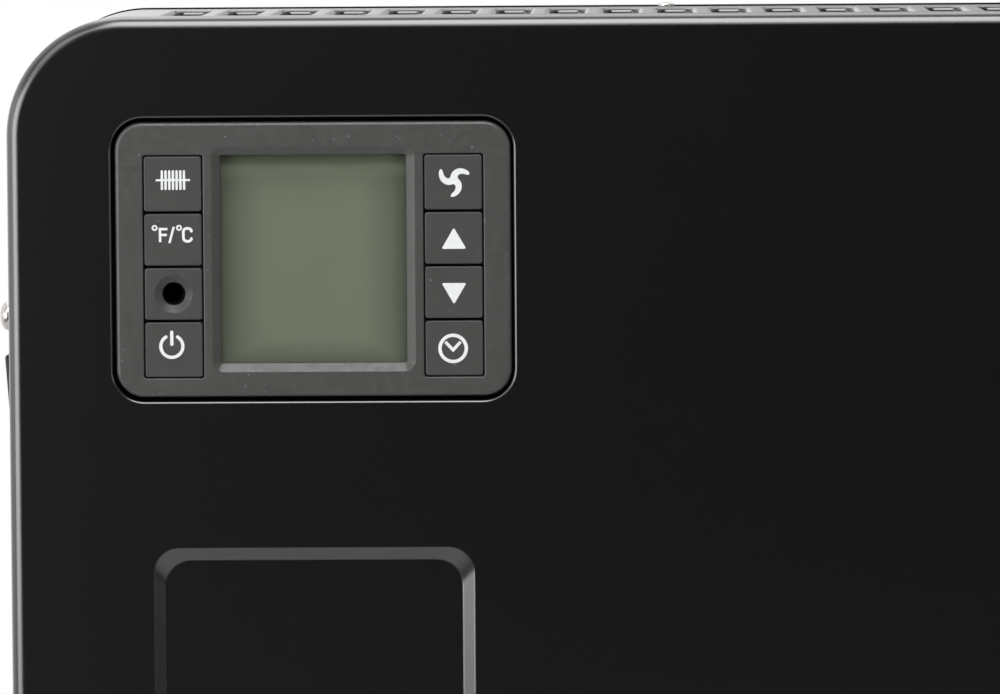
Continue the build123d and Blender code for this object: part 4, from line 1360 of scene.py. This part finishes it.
def make_camera():
    """Camera above the control panel, a little to its right, as in the photograph."""
    place = Vector((-143.1, -1984.4, 479.8)) * MM
    yaw, pitch, roll = 0.02070, 0.06982, -0.006588
    turn = (
        Matrix.Rotation(yaw, 4, "Z")
        @ Matrix.Rotation(QUARTER - pitch, 4, "X")
        @ Matrix.Rotation(roll, 4, "Z")
    )
    clear_selection()
    bpy.ops.object.camera_add(location=place, rotation=turn.to_euler())
    camera = bpy.context.object
    camera.name = "studio_camera"
    camera.data.sensor_fit = "HORIZONTAL"
    camera.data.sensor_width = 36.0
    camera.data.lens = 257.24
    camera.data.clip_start = 0.05
    camera.data.clip_end = 60.0
    bpy.context.scene.camera = camera


def make_stage():
    for name, settings in LAMPS.items():
        make_lamp(name, *settings)
    make_floor()
    make_world()
    make_camera()
    bpy.context.scene.view_settings.view_transform = "Standard"


# The add-on.


class PieceOperator:
    """Shared behaviour of the operators: each runs its own build function."""

    bl_options = {"REGISTER", "UNDO"}

    def execute(self, context):
        self.build()
        return {"FINISHED"}


class HEATER_OT_inner_parts(PieceOperator, bpy.types.Operator):
    """Gives the inner parts their finishes"""

    bl_idname = "heater.inner_parts"
    bl_label = "Inner parts"
    build = staticmethod(dress_inner_nodes)


class HEATER_OT_front_panel(PieceOperator, bpy.types.Operator):
    """Builds the front panel with its rolled edge, lip and recesses"""

    bl_idname = "heater.front_panel"
    bl_label = "Front panel"
    build = staticmethod(build_front_panel)


class HEATER_OT_body_wrap(PieceOperator, bpy.types.Operator):
    """Builds the wrap with the outlet grille in its top"""

    bl_idname = "heater.body_wrap"
    bl_label = "Body wrap"
    build = staticmethod(build_body_wrap)


class HEATER_OT_rear_panel(PieceOperator, bpy.types.Operator):
    """Builds the rear panel with its pressed field and vents"""

    bl_idname = "heater.rear_panel"
    bl_label = "Rear panel"
    build = staticmethod(build_rear_panel)


class HEATER_OT_bezel(PieceOperator, bpy.types.Operator):
    """Builds the control bezel with its window and key pockets"""

    bl_idname = "heater.bezel"
    bl_label = "Control bezel"
    build = staticmethod(build_bezel)


class HEATER_OT_display(PieceOperator, bpy.types.Operator):
    """Builds the clear pane and the liquid crystal cell behind it"""

    bl_idname = "heater.display"
    bl_label = "Display"
    build = staticmethod(build_display)


class HEATER_OT_receiver_tile(PieceOperator, bpy.types.Operator):
    """Builds the fixed tile with the dish and the lens of the remote receiver"""

    bl_idname = "heater.receiver_tile"
    bl_label = "Receiver tile"
    build = staticmethod(build_receiver_tile)


class HEATER_OT_keys(PieceOperator, bpy.types.Operator):
    """Builds the seven keys with their printed icons"""

    bl_idname = "heater.keys"
    bl_label = "Keys"
    build = staticmethod(build_keys)


class HEATER_OT_switch(PieceOperator, bpy.types.Operator):
    """Builds the rocker switch in the left end"""

    bl_idname = "heater.switch"
    bl_label = "Rocker switch"
    build = staticmethod(build_switch)


class HEATER_OT_screws(PieceOperator, bpy.types.Operator):
    """Sets the screw heads of the body"""

    bl_idname = "heater.screws"
    bl_label = "Screws"
    build = staticmethod(build_screws)


class HEATER_OT_feet(PieceOperator, bpy.types.Operator):
    """Builds both feet and their rubber pads"""

    bl_idname = "heater.feet"
    bl_label = "Feet"
    build = staticmethod(build_feet)


class HEATER_OT_cord_inlet(PieceOperator, bpy.types.Operator):
    """Builds the bushing that the mains lead enters by"""

    bl_idname = "heater.cord_inlet"
    bl_label = "Cord inlet"
    build = staticmethod(build_cord_inlet)


class HEATER_OT_stage(PieceOperator, bpy.types.Operator):
    """Sets up the floor, the lamps, the backdrop and the camera"""

    bl_idname = "heater.stage"
    bl_label = "Stage"
    build = staticmethod(make_stage)


OPERATORS = (
    HEATER_OT_inner_parts,
    HEATER_OT_front_panel,
    HEATER_OT_body_wrap,
    HEATER_OT_rear_panel,
    HEATER_OT_bezel,
    HEATER_OT_display,
    HEATER_OT_receiver_tile,
    HEATER_OT_keys,
    HEATER_OT_switch,
    HEATER_OT_screws,
    HEATER_OT_feet,
    HEATER_OT_cord_inlet,
    HEATER_OT_stage,
)


class HEATER_PT_sidebar(bpy.types.Panel):
    """Lists the heater's pieces, sizes and colours"""

    bl_idname = "HEATER_PT_sidebar"
    bl_label = "Convector heater"
    bl_space_type = "VIEW_3D"
    bl_region_type = "UI"
    bl_category = "Heater"

    def draw(self, context):
        layout = self.layout
        for group in (context.scene.heater_sizes, context.scene.heater_colours):
            box = layout.box()
            for name in group.__annotations__:
                box.prop(group, name)
        for operator in OPERATORS:
            layout.operator(operator.bl_idname)


CLASSES = (HeaterSizes, HeaterColours, *OPERATORS, HEATER_PT_sidebar)


def register():
    for item in CLASSES:
        bpy.utils.register_class(item)
    bpy.types.Scene.heater_sizes = bpy.props.PointerProperty(type=HeaterSizes)
    bpy.types.Scene.heater_colours = bpy.props.PointerProperty(type=HeaterColours)


def unregister():
    del bpy.types.Scene.heater_colours
    del bpy.types.Scene.heater_sizes
    for item in reversed(CLASSES):
        bpy.utils.unregister_class(item)


def main():
    register()
    for operator in OPERATORS:
        group, name = operator.bl_idname.split(".")
        getattr(getattr(bpy.ops, group), name)()


if __name__ == "__main__":
    main()
